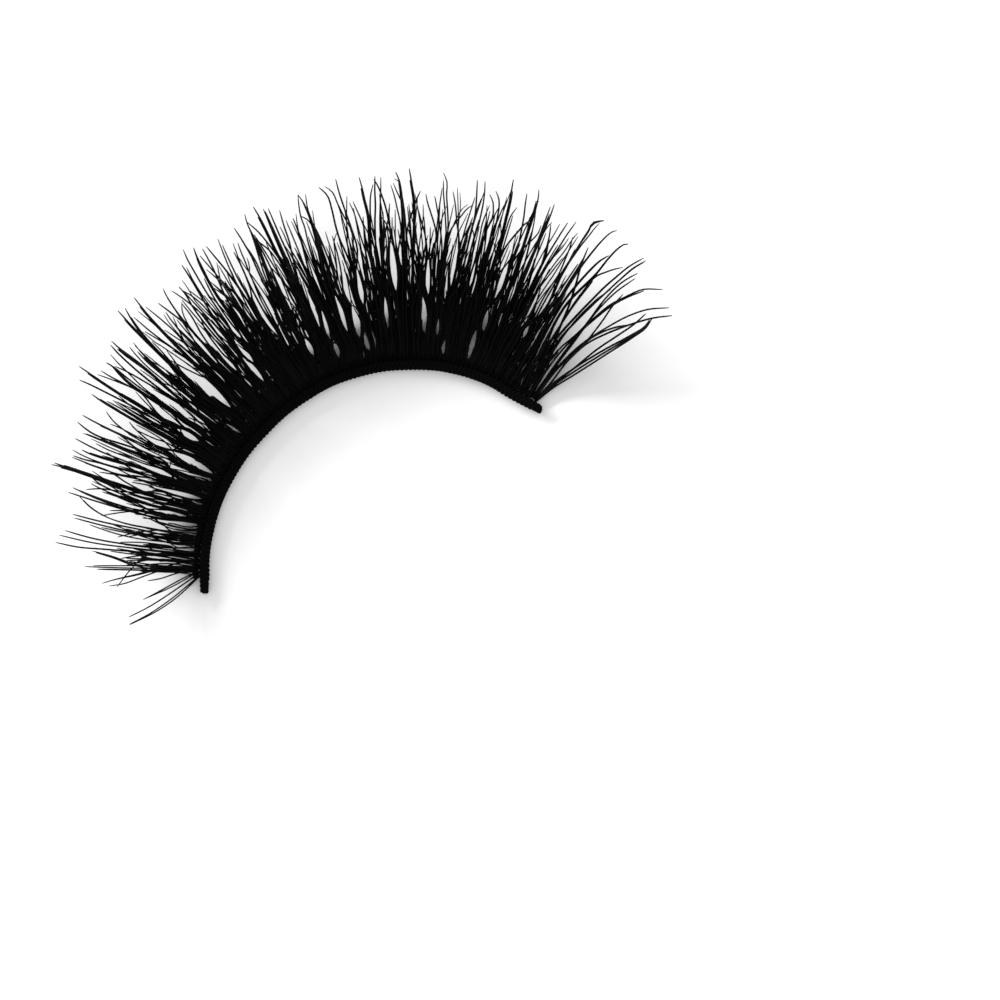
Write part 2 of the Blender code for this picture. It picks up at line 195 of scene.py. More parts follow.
# Lashes drawn one by one above the dense part: how stout each is, and points along the band
# and out from it, in millimetres
Lash = namedtuple("Lash", "stoutness points")
LASHES = [
    Lash(1.0, [(1.50, 3.0), (1.50, 5.5), (1.50, 7.2)]),
    Lash(0.7, [(1.62, 4.0), (1.63, 6.5), (1.65, 8.06)]),
    Lash(0.7, [(1.75, 4.0), (1.72, 6.0), (1.70, 7.5)]),
    Lash(1.1, [(2.43, 4.0), (2.43, 7.0), (2.43, 8.5), (2.54, 10.1)]),
    Lash(0.9, [(2.60, 4.5), (2.66, 7.5), (2.83, 9.9)]),
    Lash(0.9, [(2.75, 4.5), (2.84, 7.5), (3.03, 9.56)]),
    Lash(1.0, [(3.35, 4.5), (3.45, 7.0), (3.57, 9.06)]),
    Lash(1.0, [(3.55, 4.5), (3.60, 7.0), (3.70, 9.2)]),
    Lash(1.1, [(4.30, 4.5), (4.40, 7.5), (4.50, 9.8)]),
    Lash(0.9, [(4.45, 5.0), (4.55, 7.5), (4.70, 9.5)]),
    Lash(0.9, [(4.35, 5.0), (4.45, 7.0), (4.60, 8.6), (4.72, 9.6)]),
    Lash(0.8, [(4.85, 5.2), (4.88, 6.5), (4.98, 7.8), (5.07, 8.5)]),
    Lash(0.8, [(5.30, 5.0), (5.10, 6.5), (4.97, 7.8), (4.78, 8.7)]),
    Lash(0.9, [(4.95, 5.2), (5.05, 7.0), (5.20, 8.1), (5.33, 8.6)]),
    Lash(1.3, [(5.30, 5.0), (5.38, 8.0), (5.40, 10.0), (5.43, 11.25)]),
    Lash(1.2, [(5.42, 5.0), (5.41, 8.0), (5.39, 10.2), (5.34, 11.4)]),
    Lash(0.9, [(5.45, 5.2), (5.60, 6.4), (5.79, 7.4), (5.82, 9.0), (5.85, 10.25)]),
    Lash(0.9, [(6.15, 5.0), (5.95, 6.0), (5.82, 7.0), (5.80, 8.0), (5.80, 9.3)]),
    Lash(1.0, [(6.20, 5.0), (6.05, 7.3), (6.00, 8.5), (5.93, 9.3), (5.92, 10.2)]),
    Lash(0.8, [(6.30, 5.0), (6.10, 7.0), (6.03, 8.5), (6.06, 9.7), (6.12, 10.4)]),
    Lash(1.2, [(6.45, 5.5), (6.30, 7.3), (6.23, 8.5), (6.22, 9.2), (6.25, 9.8)]),
    Lash(0.9, [(6.50, 5.0), (6.48, 7.0), (6.47, 8.5), (6.52, 9.7), (6.57, 10.5)]),
    Lash(0.8, [(6.72, 5.0), (6.68, 7.0), (6.66, 8.3), (6.70, 9.1)]),
    Lash(0.6, [(6.80, 5.0), (6.78, 8.0), (6.80, 9.5)]),
    Lash(0.6, [(6.90, 5.0), (6.90, 8.5), (6.88, 10.2)]),
    Lash(0.7, [(6.97, 5.0), (6.97, 8.9)]),
    Lash(1.1, [(7.25, 5.0), (7.18, 6.8), (7.10, 7.8), (7.02, 8.8), (7.03, 9.7), (7.10, 10.3),
               (7.18, 10.8)]),
    Lash(0.8, [(7.00, 5.0), (7.20, 6.4), (7.38, 7.4), (7.45, 8.0)]),
    Lash(0.6, [(7.15, 5.0), (7.25, 6.6), (7.33, 7.9)]),
    Lash(1.0, [(7.55, 5.0), (7.50, 7.0), (7.47, 8.5), (7.47, 9.7), (7.50, 10.7)]),
    Lash(0.8, [(7.58, 4.6), (7.63, 6.6), (7.72, 7.8), (7.85, 8.7), (8.05, 9.4)]),
    Lash(0.8, [(7.75, 5.0), (7.80, 6.0), (7.93, 6.8), (8.02, 7.3), (8.13, 7.7)]),
    Lash(0.7, [(8.05, 5.0), (8.00, 6.0), (7.96, 7.1)]),
    Lash(1.3, [(8.30, 5.0), (8.28, 7.5), (8.30, 9.0), (8.33, 10.2), (8.37, 10.8)]),
    Lash(1.0, [(8.45, 5.0), (8.43, 7.0), (8.45, 8.8), (8.43, 9.7)]),
    Lash(0.8, [(8.55, 5.0), (8.50, 7.0), (8.52, 8.5), (8.56, 9.2)]),
    Lash(1.1, [(8.80, 5.0), (8.80, 7.0), (8.76, 8.8), (8.70, 10.2), (8.65, 11.3), (8.60, 12.0)]),
    Lash(1.3, [(8.95, 5.0), (8.97, 7.0), (8.96, 9.0), (8.98, 10.8), (9.01, 12.5)]),
    Lash(1.0, [(8.98, 5.0), (9.02, 7.0), (9.00, 9.2)]),
    Lash(0.9, [(9.02, 5.2), (9.12, 6.4), (9.28, 7.1), (9.42, 7.7), (9.50, 8.9), (9.60, 10.0)]),
    Lash(0.7, [(9.05, 6.0), (9.15, 6.9), (9.30, 7.9), (9.38, 8.4)]),
    Lash(1.0, [(9.50, 5.0), (9.47, 7.0), (9.45, 8.5), (9.38, 9.5), (9.32, 10.5), (9.31, 11.1)]),
    Lash(1.2, [(9.55, 6.0), (9.48, 8.0), (9.52, 9.4), (9.62, 10.2), (9.70, 10.8), (9.68, 11.1)]),
    Lash(1.1, [(9.65, 6.0), (9.62, 8.0), (9.66, 9.6), (9.70, 10.5), (9.67, 11.1)]),
    Lash(0.8, [(9.68, 6.5), (9.70, 8.0), (9.85, 9.6), (9.92, 10.4), (10.02, 11.2)]),
    Lash(1.0, [(10.03, 6.0), (10.00, 7.5), (9.93, 8.6), (9.85, 9.7), (9.75, 10.5)]),
    Lash(1.1, [(10.10, 6.0), (10.10, 8.0), (10.13, 9.0), (10.18, 10.0), (10.25, 11.0), (10.32, 11.6)]),
    Lash(0.8, [(10.30, 5.0), (10.35, 7.0), (10.37, 9.0), (10.34, 10.3), (10.35, 11.1)]),
    Lash(1.2, [(10.30, 6.0), (10.42, 8.0), (10.45, 10.0), (10.43, 11.0), (10.46, 11.7)]),
    Lash(0.7, [(10.50, 6.0), (10.52, 7.5), (10.55, 8.9), (10.65, 10.0), (10.72, 10.5)]),
    Lash(1.3, [(10.65, 6.0), (10.68, 8.0), (10.70, 9.0), (10.78, 9.9)]),
    Lash(0.7, [(10.85, 6.0), (10.80, 7.5), (10.85, 9.3), (10.90, 10.3)]),
    Lash(0.6, [(10.95, 7.0), (10.92, 8.5), (10.92, 9.5)]),
    Lash(0.6, [(10.78, 7.0), (10.85, 9.7), (10.96, 10.5)]),
    Lash(1.0, [(11.00, 5.5), (10.90, 6.7), (10.80, 7.5), (10.72, 8.6)]),
    Lash(1.2, [(11.10, 5.0), (11.15, 6.5), (11.27, 8.0), (11.35, 9.5), (11.42, 10.4),
               (11.55, 11.4), (11.75, 12.45)]),
    Lash(1.2, [(11.20, 5.0), (11.25, 7.0), (11.33, 9.0), (11.38, 10.4), (11.43, 11.6), (11.50, 12.7)]),
    Lash(0.8, [(11.25, 5.5), (11.32, 6.5), (11.48, 7.4), (11.63, 8.5)]),
    Lash(0.8, [(11.95, 5.0), (11.80, 5.7), (11.55, 6.9), (11.42, 7.8)]),
    Lash(0.9, [(12.00, 6.0), (11.93, 7.5), (11.82, 8.7), (11.70, 9.6), (11.60, 10.4)]),
    Lash(1.0, [(12.03, 6.0), (11.95, 7.5), (11.82, 9.0), (11.75, 10.2), (11.72, 11.6)]),
    Lash(1.4, [(12.10, 5.0), (12.10, 8.0), (12.13, 10.0), (12.18, 11.3), (12.27, 12.5)]),
    Lash(1.2, [(12.05, 6.0), (12.05, 9.0), (12.10, 10.6), (12.17, 11.8)]),
    Lash(0.6, [(12.00, 8.0), (12.07, 10.0), (12.00, 11.7)]),
    Lash(0.9, [(12.20, 6.0), (12.30, 7.0), (12.42, 8.0), (12.45, 9.0), (12.40, 10.3), (12.33, 11.5)]),
    Lash(0.6, [(12.40, 6.0), (12.45, 7.5), (12.50, 8.8), (12.55, 9.7), (12.63, 10.3)]),
    Lash(1.0, [(12.60, 5.5), (12.60, 7.0), (12.65, 9.0), (12.70, 9.9), (12.75, 10.3)]),
    Lash(1.2, [(12.70, 5.0), (12.68, 7.0), (12.62, 8.5), (12.65, 9.3)]),
    Lash(0.9, [(12.70, 7.0), (12.85, 8.0), (12.95, 8.8), (13.10, 10.0), (13.20, 11.0), (13.30, 11.6)]),
    Lash(1.1, [(12.95, 6.0), (13.00, 7.5), (12.98, 9.1), (12.87, 10.2), (12.78, 11.1)]),
    Lash(1.0, [(12.90, 5.0), (13.00, 7.0), (13.05, 9.0), (13.10, 10.0), (13.20, 11.0), (13.25, 11.4)]),
    Lash(0.8, [(13.10, 6.0), (13.03, 7.6), (13.13, 9.0), (13.35, 9.8), (13.52, 10.1)]),
    Lash(0.9, [(13.20, 5.0), (13.15, 6.5), (13.25, 7.7), (13.42, 8.9), (13.47, 10.0)]),
    Lash(0.9, [(13.35, 5.0), (13.40, 6.5), (13.50, 7.7), (13.70, 8.5)]),
    Lash(1.1, [(13.65, 6.0), (13.65, 7.5), (13.72, 9.3), (13.83, 10.5), (13.82, 11.0)]),
    Lash(0.8, [(13.75, 6.0), (13.78, 7.7), (13.80, 9.0), (13.70, 9.8), (13.60, 10.5), (13.50, 11.1)]),
    Lash(0.9, [(13.95, 7.5), (13.90, 9.0), (13.87, 9.8), (13.85, 10.6)]),
    Lash(0.9, [(14.00, 6.0), (13.98, 7.6), (13.85, 8.5), (13.75, 9.2)]),
    Lash(1.0, [(14.05, 6.0), (14.10, 8.0), (14.10, 9.0), (13.98, 10.0), (13.85, 10.6)]),
    Lash(0.6, [(14.15, 7.0), (13.98, 9.8), (14.05, 10.5), (14.08, 11.2)]),
    Lash(1.1, [(14.15, 6.0), (14.15, 8.0), (14.25, 9.3), (14.35, 10.5), (14.40, 11.3), (14.43, 12.0)]),
    Lash(0.9, [(14.30, 6.0), (14.28, 8.0), (14.32, 9.0), (14.42, 10.8), (14.52, 11.7)]),
    Lash(0.7, [(14.40, 6.0), (14.42, 8.5), (14.40, 9.5)]),
    Lash(1.1, [(14.45, 6.5), (14.50, 8.0), (14.55, 9.5), (14.65, 11.0), (14.75, 12.3), (14.82, 12.8)]),
    Lash(1.0, [(14.60, 6.0), (14.62, 8.0), (14.70, 9.3), (14.82, 10.4)]),
    Lash(1.1, [(14.75, 6.0), (14.80, 8.0), (14.90, 10.0), (15.00, 11.4), (15.15, 12.4)]),
    Lash(1.3, [(14.85, 6.0), (14.83, 8.6), (14.93, 10.3), (15.05, 11.6), (15.17, 12.5)]),
    Lash(1.0, [(14.95, 6.0), (14.85, 8.6), (14.90, 9.8), (15.00, 10.9), (15.10, 12.0)]),
    Lash(1.0, [(15.00, 7.0), (15.15, 9.0), (15.30, 10.2), (15.37, 11.0), (15.43, 12.1)]),
    Lash(0.9, [(15.25, 6.0), (15.25, 8.0), (15.28, 9.5), (15.20, 10.2), (15.10, 10.8)]),
    Lash(0.8, [(15.30, 7.0), (15.35, 9.5), (15.27, 10.7), (15.20, 11.8)]),
    Lash(0.7, [(15.05, 7.0), (15.20, 9.3), (15.40, 10.0), (15.60, 10.8)]),
    Lash(1.0, [(15.55, 7.0), (15.50, 8.5), (15.35, 9.6), (15.30, 10.4)]),
    Lash(0.8, [(15.65, 7.0), (15.57, 8.5), (15.65, 9.4), (15.75, 10.0)]),
    Lash(1.1, [(15.80, 7.0), (15.80, 9.0), (15.72, 10.3), (15.65, 11.3), (15.60, 12.1)]),
    Lash(0.9, [(15.85, 7.0), (15.82, 9.0), (15.90, 10.0), (16.00, 11.0), (16.12, 12.1)]),
    Lash(0.9, [(15.95, 7.0), (15.97, 9.0), (16.03, 10.0), (16.10, 11.0), (16.15, 11.6)]),
    Lash(0.8, [(15.95, 6.0), (16.02, 7.3), (16.18, 8.0), (16.30, 9.0)]),
    Lash(1.1, [(16.20, 5.0), (16.22, 7.0), (16.28, 8.5), (16.37, 9.8), (16.39, 10.8)]),
    Lash(1.0, [(16.40, 5.0), (16.45, 7.0), (16.50, 9.0), (16.58, 9.9), (16.63, 10.7), (16.68, 11.2)]),
    Lash(1.0, [(16.80, 6.0), (16.82, 8.5), (16.88, 10.0), (16.87, 10.8), (16.82, 12.2)]),
    Lash(1.0, [(16.85, 6.0), (16.90, 8.5), (16.94, 9.7), (16.88, 10.8)]),
    Lash(1.0, [(16.95, 7.0), (17.00, 8.5), (17.10, 9.5), (17.20, 10.5), (17.27, 11.5), (17.30, 12.3)]),
    Lash(1.2, [(17.00, 6.0), (17.05, 8.0), (17.15, 9.0), (17.22, 10.3), (17.28, 11.5)]),
    Lash(0.9, [(17.15, 7.0), (17.22, 9.0), (17.30, 10.5), (17.29, 12.1), (17.35, 12.7)]),
    Lash(1.0, [(17.30, 7.0), (17.35, 9.0), (17.33, 10.4), (17.28, 11.3)]),
    Lash(1.0, [(17.85, 7.5), (17.80, 9.0), (17.65, 10.3), (17.50, 11.3), (17.32, 12.1)]),
    Lash(0.9, [(17.80, 7.0), (17.70, 9.0), (17.55, 10.0), (17.40, 10.5), (17.30, 11.0)]),
    Lash(1.2, [(17.95, 6.0), (17.87, 8.3), (17.82, 9.8), (17.80, 11.0), (17.77, 12.0), (17.72, 12.9)]),
    Lash(1.2, [(18.00, 6.0), (17.98, 8.0), (17.98, 10.0), (18.00, 12.5)]),
    Lash(0.9, [(18.10, 7.0), (18.08, 9.0), (18.05, 11.0), (18.03, 12.3)]),
    Lash(1.1, [(18.15, 7.0), (18.20, 8.7), (18.17, 10.5), (18.16, 12.4)]),
    Lash(1.1, [(18.20, 7.2), (18.30, 8.5), (18.42, 9.8), (18.45, 11.0), (18.50, 12.0)]),
    Lash(0.8, [(18.55, 7.0), (18.45, 8.5), (18.35, 9.4), (18.33, 10.5), (18.30, 11.0)]),
    Lash(0.9, [(18.70, 7.0), (18.62, 8.3), (18.53, 9.3)]),
    Lash(1.1, [(18.75, 7.5), (18.83, 9.0), (18.87, 10.3), (18.85, 11.2)]),
    Lash(0.8, [(18.85, 7.5), (18.87, 9.0), (18.90, 10.5), (19.00, 11.4)]),
    Lash(0.8, [(19.05, 8.0), (19.10, 9.5), (19.15, 10.5), (19.13, 11.0), (19.20, 12.0), (19.27, 12.6)]),
    Lash(0.9, [(19.60, 7.0), (19.55, 8.5), (19.45, 10.2), (19.30, 10.9), (19.12, 11.2)]),
    Lash(1.3, [(19.30, 6.0), (19.35, 8.0), (19.42, 10.0), (19.42, 11.0), (19.35, 12.1)]),
    Lash(1.1, [(19.57, 6.5), (19.53, 9.0), (19.44, 11.0), (19.37, 12.0), (19.27, 12.6)]),
    Lash(1.1, [(19.75, 6.5), (19.65, 8.5), (19.55, 9.8), (19.45, 10.7), (19.42, 11.5)]),
    Lash(0.8, [(19.40, 7.0), (19.46, 9.5), (19.47, 10.5), (19.45, 11.5), (19.52, 12.5)]),
    Lash(0.6, [(19.45, 8.0), (19.50, 10.0), (19.55, 10.7), (19.60, 11.3)]),
    Lash(0.6, [(19.95, 7.0), (19.92, 8.2), (19.87, 8.9), (19.85, 9.7)]),
    Lash(0.8, [(19.85, 6.5), (19.95, 7.3), (20.03, 8.3), (20.10, 9.0), (20.27, 9.45)]),
    Lash(0.8, [(19.90, 5.2), (20.00, 6.0), (20.08, 7.0), (20.10, 8.0), (20.07, 9.3)]),
    Lash(1.1, [(20.60, 5.0), (20.55, 7.1), (20.45, 8.0), (20.32, 9.0),
               (20.28, 10.0), (20.28, 11.0), (20.20, 12.2), (20.02, 12.7)]),
    Lash(0.9, [(20.70, 6.0), (20.75, 8.0), (20.85, 8.9), (20.83, 9.5),
               (20.68, 10.3), (20.52, 11.4), (20.40, 12.3), (20.23, 12.65)]),
    Lash(1.1, [(20.80, 7.0), (20.95, 8.2), (20.90, 9.0), (20.83, 9.8),
               (20.72, 11.1), (20.65, 12.2), (20.63, 13.0)]),
    Lash(0.9, [(21.25, 8.0), (21.15, 9.0), (21.10, 9.8), (21.05, 10.6), (20.95, 11.25)]),
    Lash(0.9, [(21.25, 7.5), (21.33, 8.5), (21.32, 9.7), (21.20, 10.5), (21.08, 11.3)]),
    Lash(0.8, [(21.25, 7.0), (21.10, 8.0), (21.00, 8.8)]),
    Lash(1.2, [(21.50, 7.0), (21.52, 8.8), (21.58, 9.8), (21.57, 10.6),
               (21.52, 11.2), (21.47, 12.2), (21.42, 12.85)]),
    Lash(1.0, [(21.57, 9.0), (21.63, 9.9), (21.68, 10.8), (21.75, 11.6), (21.87, 12.25)]),
    Lash(1.1, [(21.75, 8.8), (21.80, 9.8), (21.88, 10.8), (21.92, 12.0), (21.97, 12.8)]),
    Lash(0.8, [(21.95, 8.0), (21.98, 9.5), (22.05, 10.7), (22.13, 11.8), (22.17, 12.7)]),
    Lash(1.1, [(22.50, 7.8), (22.45, 8.6), (22.35, 9.6), (22.30, 10.3),
               (22.15, 11.5), (22.05, 12.1), (21.93, 12.6)]),
    Lash(0.9, [(22.05, 7.5), (22.10, 8.5), (22.25, 9.4), (22.35, 10.0), (22.42, 10.9)]),
    Lash(0.8, [(22.45, 8.2), (22.35, 9.0), (22.20, 9.7), (22.05, 10.1)]),
    Lash(0.9, [(22.60, 7.0), (22.70, 8.0), (22.82, 9.0), (22.78, 9.8),
               (22.70, 10.5), (22.60, 11.5), (22.50, 12.15)]),
    Lash(0.9, [(22.90, 10.0), (22.87, 11.0), (22.75, 11.5), (22.60, 12.25)]),
    Lash(1.3, [(22.90, 9.0), (22.92, 10.0), (22.90, 11.0), (22.87, 11.7), (22.80, 12.5), (22.70, 13.0)]),
    Lash(0.8, [(22.85, 11.8), (22.78, 12.4), (22.65, 12.55)]),
    Lash(1.2, [(23.30, 6.0), (23.35, 8.5), (23.37, 10.0), (23.35, 11.1), (23.25, 12.2), (23.17, 13.2)]),
    Lash(1.1, [(23.00, 8.0), (23.08, 9.2), (23.17, 9.8), (23.30, 10.4), (23.42, 11.1), (23.57, 11.7)]),
    Lash(1.0, [(23.90, 7.8), (23.82, 8.6), (23.72, 9.2), (23.62, 9.7), (23.55, 10.1), (23.45, 10.7)]),
    Lash(0.7, [(23.60, 8.5), (23.68, 9.5), (23.70, 10.0), (23.68, 10.8)]),
    Lash(1.0, [(24.42, 7.2), (24.35, 8.0), (24.27, 8.8), (24.15, 9.5),
               (24.00, 10.2), (23.85, 10.9), (23.77, 11.5)]),
    Lash(0.9, [(24.55, 7.8), (24.50, 8.4), (24.40, 9.2), (24.30, 10.0), (24.20, 10.7), (24.10, 11.4)]),
    Lash(1.0, [(24.72, 8.8), (24.70, 9.5), (24.62, 10.5), (24.53, 11.5), (24.47, 12.6), (24.35, 13.0)]),
    Lash(0.9, [(24.65, 9.0), (24.58, 9.8), (24.50, 10.7), (24.42, 11.5), (24.37, 12.5)]),
    Lash(1.0, [(25.23, 8.5), (25.15, 9.1), (25.05, 9.6), (25.00, 10.0),
               (24.93, 10.6), (24.82, 11.4), (24.75, 11.8)]),
    Lash(1.0, [(24.70, 8.0), (24.77, 9.0), (24.90, 9.5), (25.03, 9.9),
               (25.18, 10.3), (25.35, 10.8), (25.50, 11.05)]),
    Lash(0.5, [(25.10, 10.0), (25.08, 11.0), (25.00, 11.8)]),
    Lash(0.5, [(25.05, 10.3), (25.15, 10.7), (25.35, 11.1)]),
    Lash(0.5, [(25.20, 9.4), (25.30, 9.9), (25.40, 10.5)]),
    Lash(1.0, [(25.62, 8.5), (25.67, 9.7), (25.68, 10.5), (25.65, 11.2), (25.60, 12.0), (25.55, 12.8)]),
    Lash(1.1, [(25.80, 8.7), (25.88, 9.7), (25.90, 10.5), (25.90, 11.5), (25.87, 12.2), (25.82, 12.8)]),
    Lash(0.7, [(25.68, 10.3), (25.73, 11.0), (25.80, 11.6)]),
    Lash(0.9, [(25.25, 7.8), (25.30, 8.5), (25.45, 9.2), (25.55, 9.8)]),
    Lash(0.9, [(25.85, 8.3), (25.80, 9.0), (25.65, 9.6)]),
    Lash(1.0, [(26.20, 9.0), (26.25, 9.9), (26.33, 10.6), (26.28, 11.2), (26.20, 11.7), (26.07, 12.0)]),
    Lash(1.1, [(26.50, 9.0), (26.50, 10.0), (26.48, 10.7), (26.45, 11.4), (26.38, 11.9), (26.25, 12.3)]),
    Lash(0.8, [(26.03, 9.0), (26.02, 10.0), (26.08, 10.7), (26.15, 11.3)]),
    Lash(0.8, [(26.25, 9.3), (26.20, 10.0), (26.20, 10.9)]),
    Lash(0.9, [(26.25, 9.8), (26.35, 10.5), (26.45, 11.3)]),
    Lash(0.9, [(26.45, 9.5), (26.52, 10.5), (26.57, 11.2), (26.65, 11.9)]),
    Lash(1.2, [(26.75, 8.0), (26.77, 9.5), (26.75, 10.5), (26.73, 11.7), (26.70, 12.6), (26.67, 13.35)]),
    Lash(0.9, [(26.87, 9.0), (26.87, 10.0), (26.90, 11.0), (27.00, 11.6)]),
    Lash(1.0, [(27.40, 8.0), (27.45, 9.0), (27.42, 9.5), (27.35, 10.5),
               (27.30, 11.2), (27.22, 12.0), (27.17, 12.7)]),
    Lash(1.1, [(26.97, 8.0), (27.02, 8.8), (27.15, 9.5), (27.30, 10.2), (27.40, 10.7), (27.55, 11.1)]),
    Lash(1.4, [(27.65, 9.0), (27.62, 10.0), (27.60, 11.0), (27.57, 12.0), (27.52, 12.8), (27.47, 13.2)]),
    Lash(0.9, [(27.10, 7.0), (27.20, 7.5), (27.35, 8.3), (27.45, 9.0)]),
    Lash(0.9, [(27.65, 9.2), (27.80, 9.8), (27.93, 10.5), (27.92, 11.0)]),
    Lash(0.9, [(28.02, 9.0), (28.00, 10.5), (27.98, 11.5), (27.97, 12.4)]),
    Lash(1.4, [(28.05, 8.5), (28.08, 10.0), (28.08, 11.2), (28.07, 12.0), (28.05, 12.65)]),
    Lash(0.7, [(28.08, 10.4), (28.12, 11.0), (28.20, 11.5)]),
    Lash(0.9, [(28.45, 8.0), (28.45, 9.5), (28.38, 10.0), (28.30, 10.6), (28.20, 11.3)]),
    Lash(0.7, [(28.38, 10.1), (28.42, 10.8), (28.45, 11.6)]),
    Lash(1.0, [(28.50, 8.0), (28.50, 9.0), (28.55, 10.0), (28.60, 11.0), (28.65, 11.9)]),
    Lash(1.0, [(28.65, 8.0), (28.70, 9.3), (28.75, 10.2), (28.80, 11.2), (28.87, 12.2)]),
    Lash(0.8, [(28.75, 9.5), (28.85, 10.2), (28.90, 11.0)]),
    Lash(0.7, [(28.90, 9.3), (28.97, 10.0), (29.02, 11.0), (29.07, 11.6)]),
    Lash(0.9, [(29.17, 9.0), (29.12, 9.8), (29.08, 10.5), (29.00, 11.2)]),
    Lash(1.0, [(29.30, 9.0), (29.30, 10.5), (29.33, 12.0), (29.40, 12.9), (29.60, 13.1), (29.85, 13.2)]),
    Lash(0.9, [(29.32, 10.0), (29.40, 11.5), (29.50, 12.4), (29.65, 12.9)]),
    Lash(1.0, [(29.75, 5.5), (29.68, 7.2), (29.73, 8.6), (29.83, 9.8)]),
    Lash(1.2, [(29.95, 5.5), (29.90, 7.0), (29.92, 8.4), (29.98, 9.6), (29.98, 10.4)]),
]

# Rise of a lash from the floor's plane, in degrees at its root and tip with their scatter, and
# how late along the lash it comes
Curl = namedtuple("Curl", "root root_scatter tip tip_scatter lateness")
LONG_CURL = Curl(9.0, 3.5, 59.0, 3.0, 1.15)
MIDDLE_CURL = Curl(5.0, 4.0, 57.0, 4.0, 1.4)
UNDER_CURL = Curl(-2.0, 2.5, 52.0, 4.0, 1.9)
WISP_CURL = Curl(10.0, 2.0, 58.0, 3.0, 1.1)

# A lash as a tube: its sides, its segments and the points of its path; its radius in millimetres,
# the shares of that between which chance picks, and how it tapers along the lash
LASH_SIDES = 5
SEGMENTS = 20
DRAWN_SEGMENTS = 28
PATH_POINTS = 61
LONG_RADIUS = 0.067
FILL_RADIUS = 0.052
FINE_RADIUS = 0.050
WING_RADIUS = 0.069
LONG_WIDTHS = (0.92, 1.05)
FILL_WIDTHS = (0.85, 1.15)
STRAY_WIDTHS = (0.7, 0.9)
WISP_WIDTHS = (0.95, 1.1)
FLOOR_CLEARANCE = 0.01
Taper = namedtuple("Taper", "share radius")
TAPERS = [
    Taper(0.00, 0.85), Taper(0.08, 1.00), Taper(0.60, 1.00),
    Taper(0.85, 0.93), Taper(0.95, 0.78), Taper(1.00, 0.45),
]

# Where lashes start in the band's outer side, in millimetres, and how late a lash's lean comes
ROOT_OUT = 0.28
ROOT_OUT_SCATTER = 0.08
ROOT_HEIGHT_SCATTER = 0.12
LEAN_LATENESS = 1.1

# Long lashes: how wide a lock's roots stand, how far a lash strays from its lane, how much of
# that lane its tip keeps, and the bow of a lock and of a lash in it
LOCK_WIDTH = 0.6
LANE_SCATTER = 0.4
TIP_LANE = 0.2
TIP_LANE_SCATTER = 0.45
LOCK_BOW = 0.16
LASH_BOW = 0.18

# Shares of a lock's reach that its shortest and its tallest lashes have; the latter by place
SHORTEST = 0.45
Tallest = namedtuple("Tallest", "along share")
TALLEST = [Tallest(14.0, 0.80), Tallest(24.0, 0.95)]

# Drawn lashes: the scatter of their roots, the stoutness from which on one is double, how
# stoutness tells in the radius, and how far apart the two of a double lie
DRAWN_ROOT_SCATTER = 0.12
STOUT = 1.2
STOUT_POWER = 0.6
TWIN_GAP = 0.045

# Share of its length that the second lash of a double lacks, and one beside another in a wisp
# may lack
UNEVEN_END = 0.06

# Layers of shorter lashes: how many, the shares of the long lashes' reach that they have, how
# far their tips scatter along the band, and their curl; how far they run past the last lock,
# the scatter of their roots, and their bow
Layer = namedtuple("Layer", "count low high scatter curl")
MIDDLE_LAYER = Layer(370, 0.38, 0.70, 0.45, MIDDLE_CURL)
UNDER_LAYER = Layer(460, 0.22, 0.48, 0.35, UNDER_CURL)
LAYER_OVERRUN = 0.4
LAYER_ROOT_SCATTER = 0.04
LAYER_BOW = 0.22

# How densely the lashes of a layer stand, at shares of the row's length
Density = namedtuple("Density", "share amount")
DENSITIES = [
    Density(0.00, 0.1), Density(0.04, 0.2), Density(0.10, 0.4), Density(0.20, 0.6),
    Density(0.45, 0.8), Density(0.55, 1.0), Density(0.88, 1.0), Density(1.00, 0.2),
]
DENSITY_POINTS = 61

# Stray lashes: how many, between which shares of the row, the shares of the long lashes' reach
# that they have, the scatter of their roots and tips, and their bow
STRAY_COUNT = 60
STRAY_STATIONS = (0.06, 0.97)
STRAY_REACHES = (0.72, 0.97)
STRAY_ROOT_SCATTER = 0.2
STRAY_TIP_SCATTER = 0.55
STRAY_BOW = 0.15

# Wisps: the share of their spread that is left at the two ends, how early the widest place
# comes, how pointed the ends are, and the scatter of the tips
WISP_CLOSED = 0.2
WISP_EARLINESS = 0.8
WISP_POINT = 1.5
WISP_TIP_SCATTER = 0.02

# A parting's outline: how much longer it is drawn than read, since lashes close over its far
# end, how blunt its near end and how sharp its far end is, and what makes its widest place 1
PARTING_STRETCH = 1.18
PARTING_BLUNTNESS = 0.7
PARTING_POINT = 1.1
PARTING_FULLNESS = 3.33

# Lashes round a parting: the share of a lash's radius that is kept clear, the farthest from it
# that one still bends, weights that even out its bends, the length over which a drawn lash
# turns from bent to charted, and a distance out that no lash reaches
PARTING_CLEARANCE = 0.6
PARTING_REACH = 1.5
SOFTENING = np.array((1, 2, 1)) / 4
CHARTED_FADE = 1.2
PAST_ALL_LASHES = 20.0

# The plait over the band: three threads that cross from side to side, waver a little and draw
# together at the tabs
THREAD_SIDES = 6
PLAIT_THREADS = 3
PLAIT_PITCH = 0.9
PLAIT_SWING = 0.24
PLAIT_RISE = 0.045
PLAIT_SUNK = 0.02
PLAIT_RADIUS = 0.12
PLAIT_INSET = 0.12
PLAIT_STEPS = 620
Waver = namedtuple("Waver", "size rate start")
PLAIT_WAVERS = [Waver(0.015, 1.7, 0.0), Waver(0.015, 0.6, 1.0)]
Swing = namedtuple("Swing", "along share")
PLAIT_SWINGS = [
    Swing(0.0, 0.6), Swing(INNER_TAB_LENGTH, 1.0), Swing(LASHES_END, 1.0), Swing(BAND_LENGTH, 0.5),
]

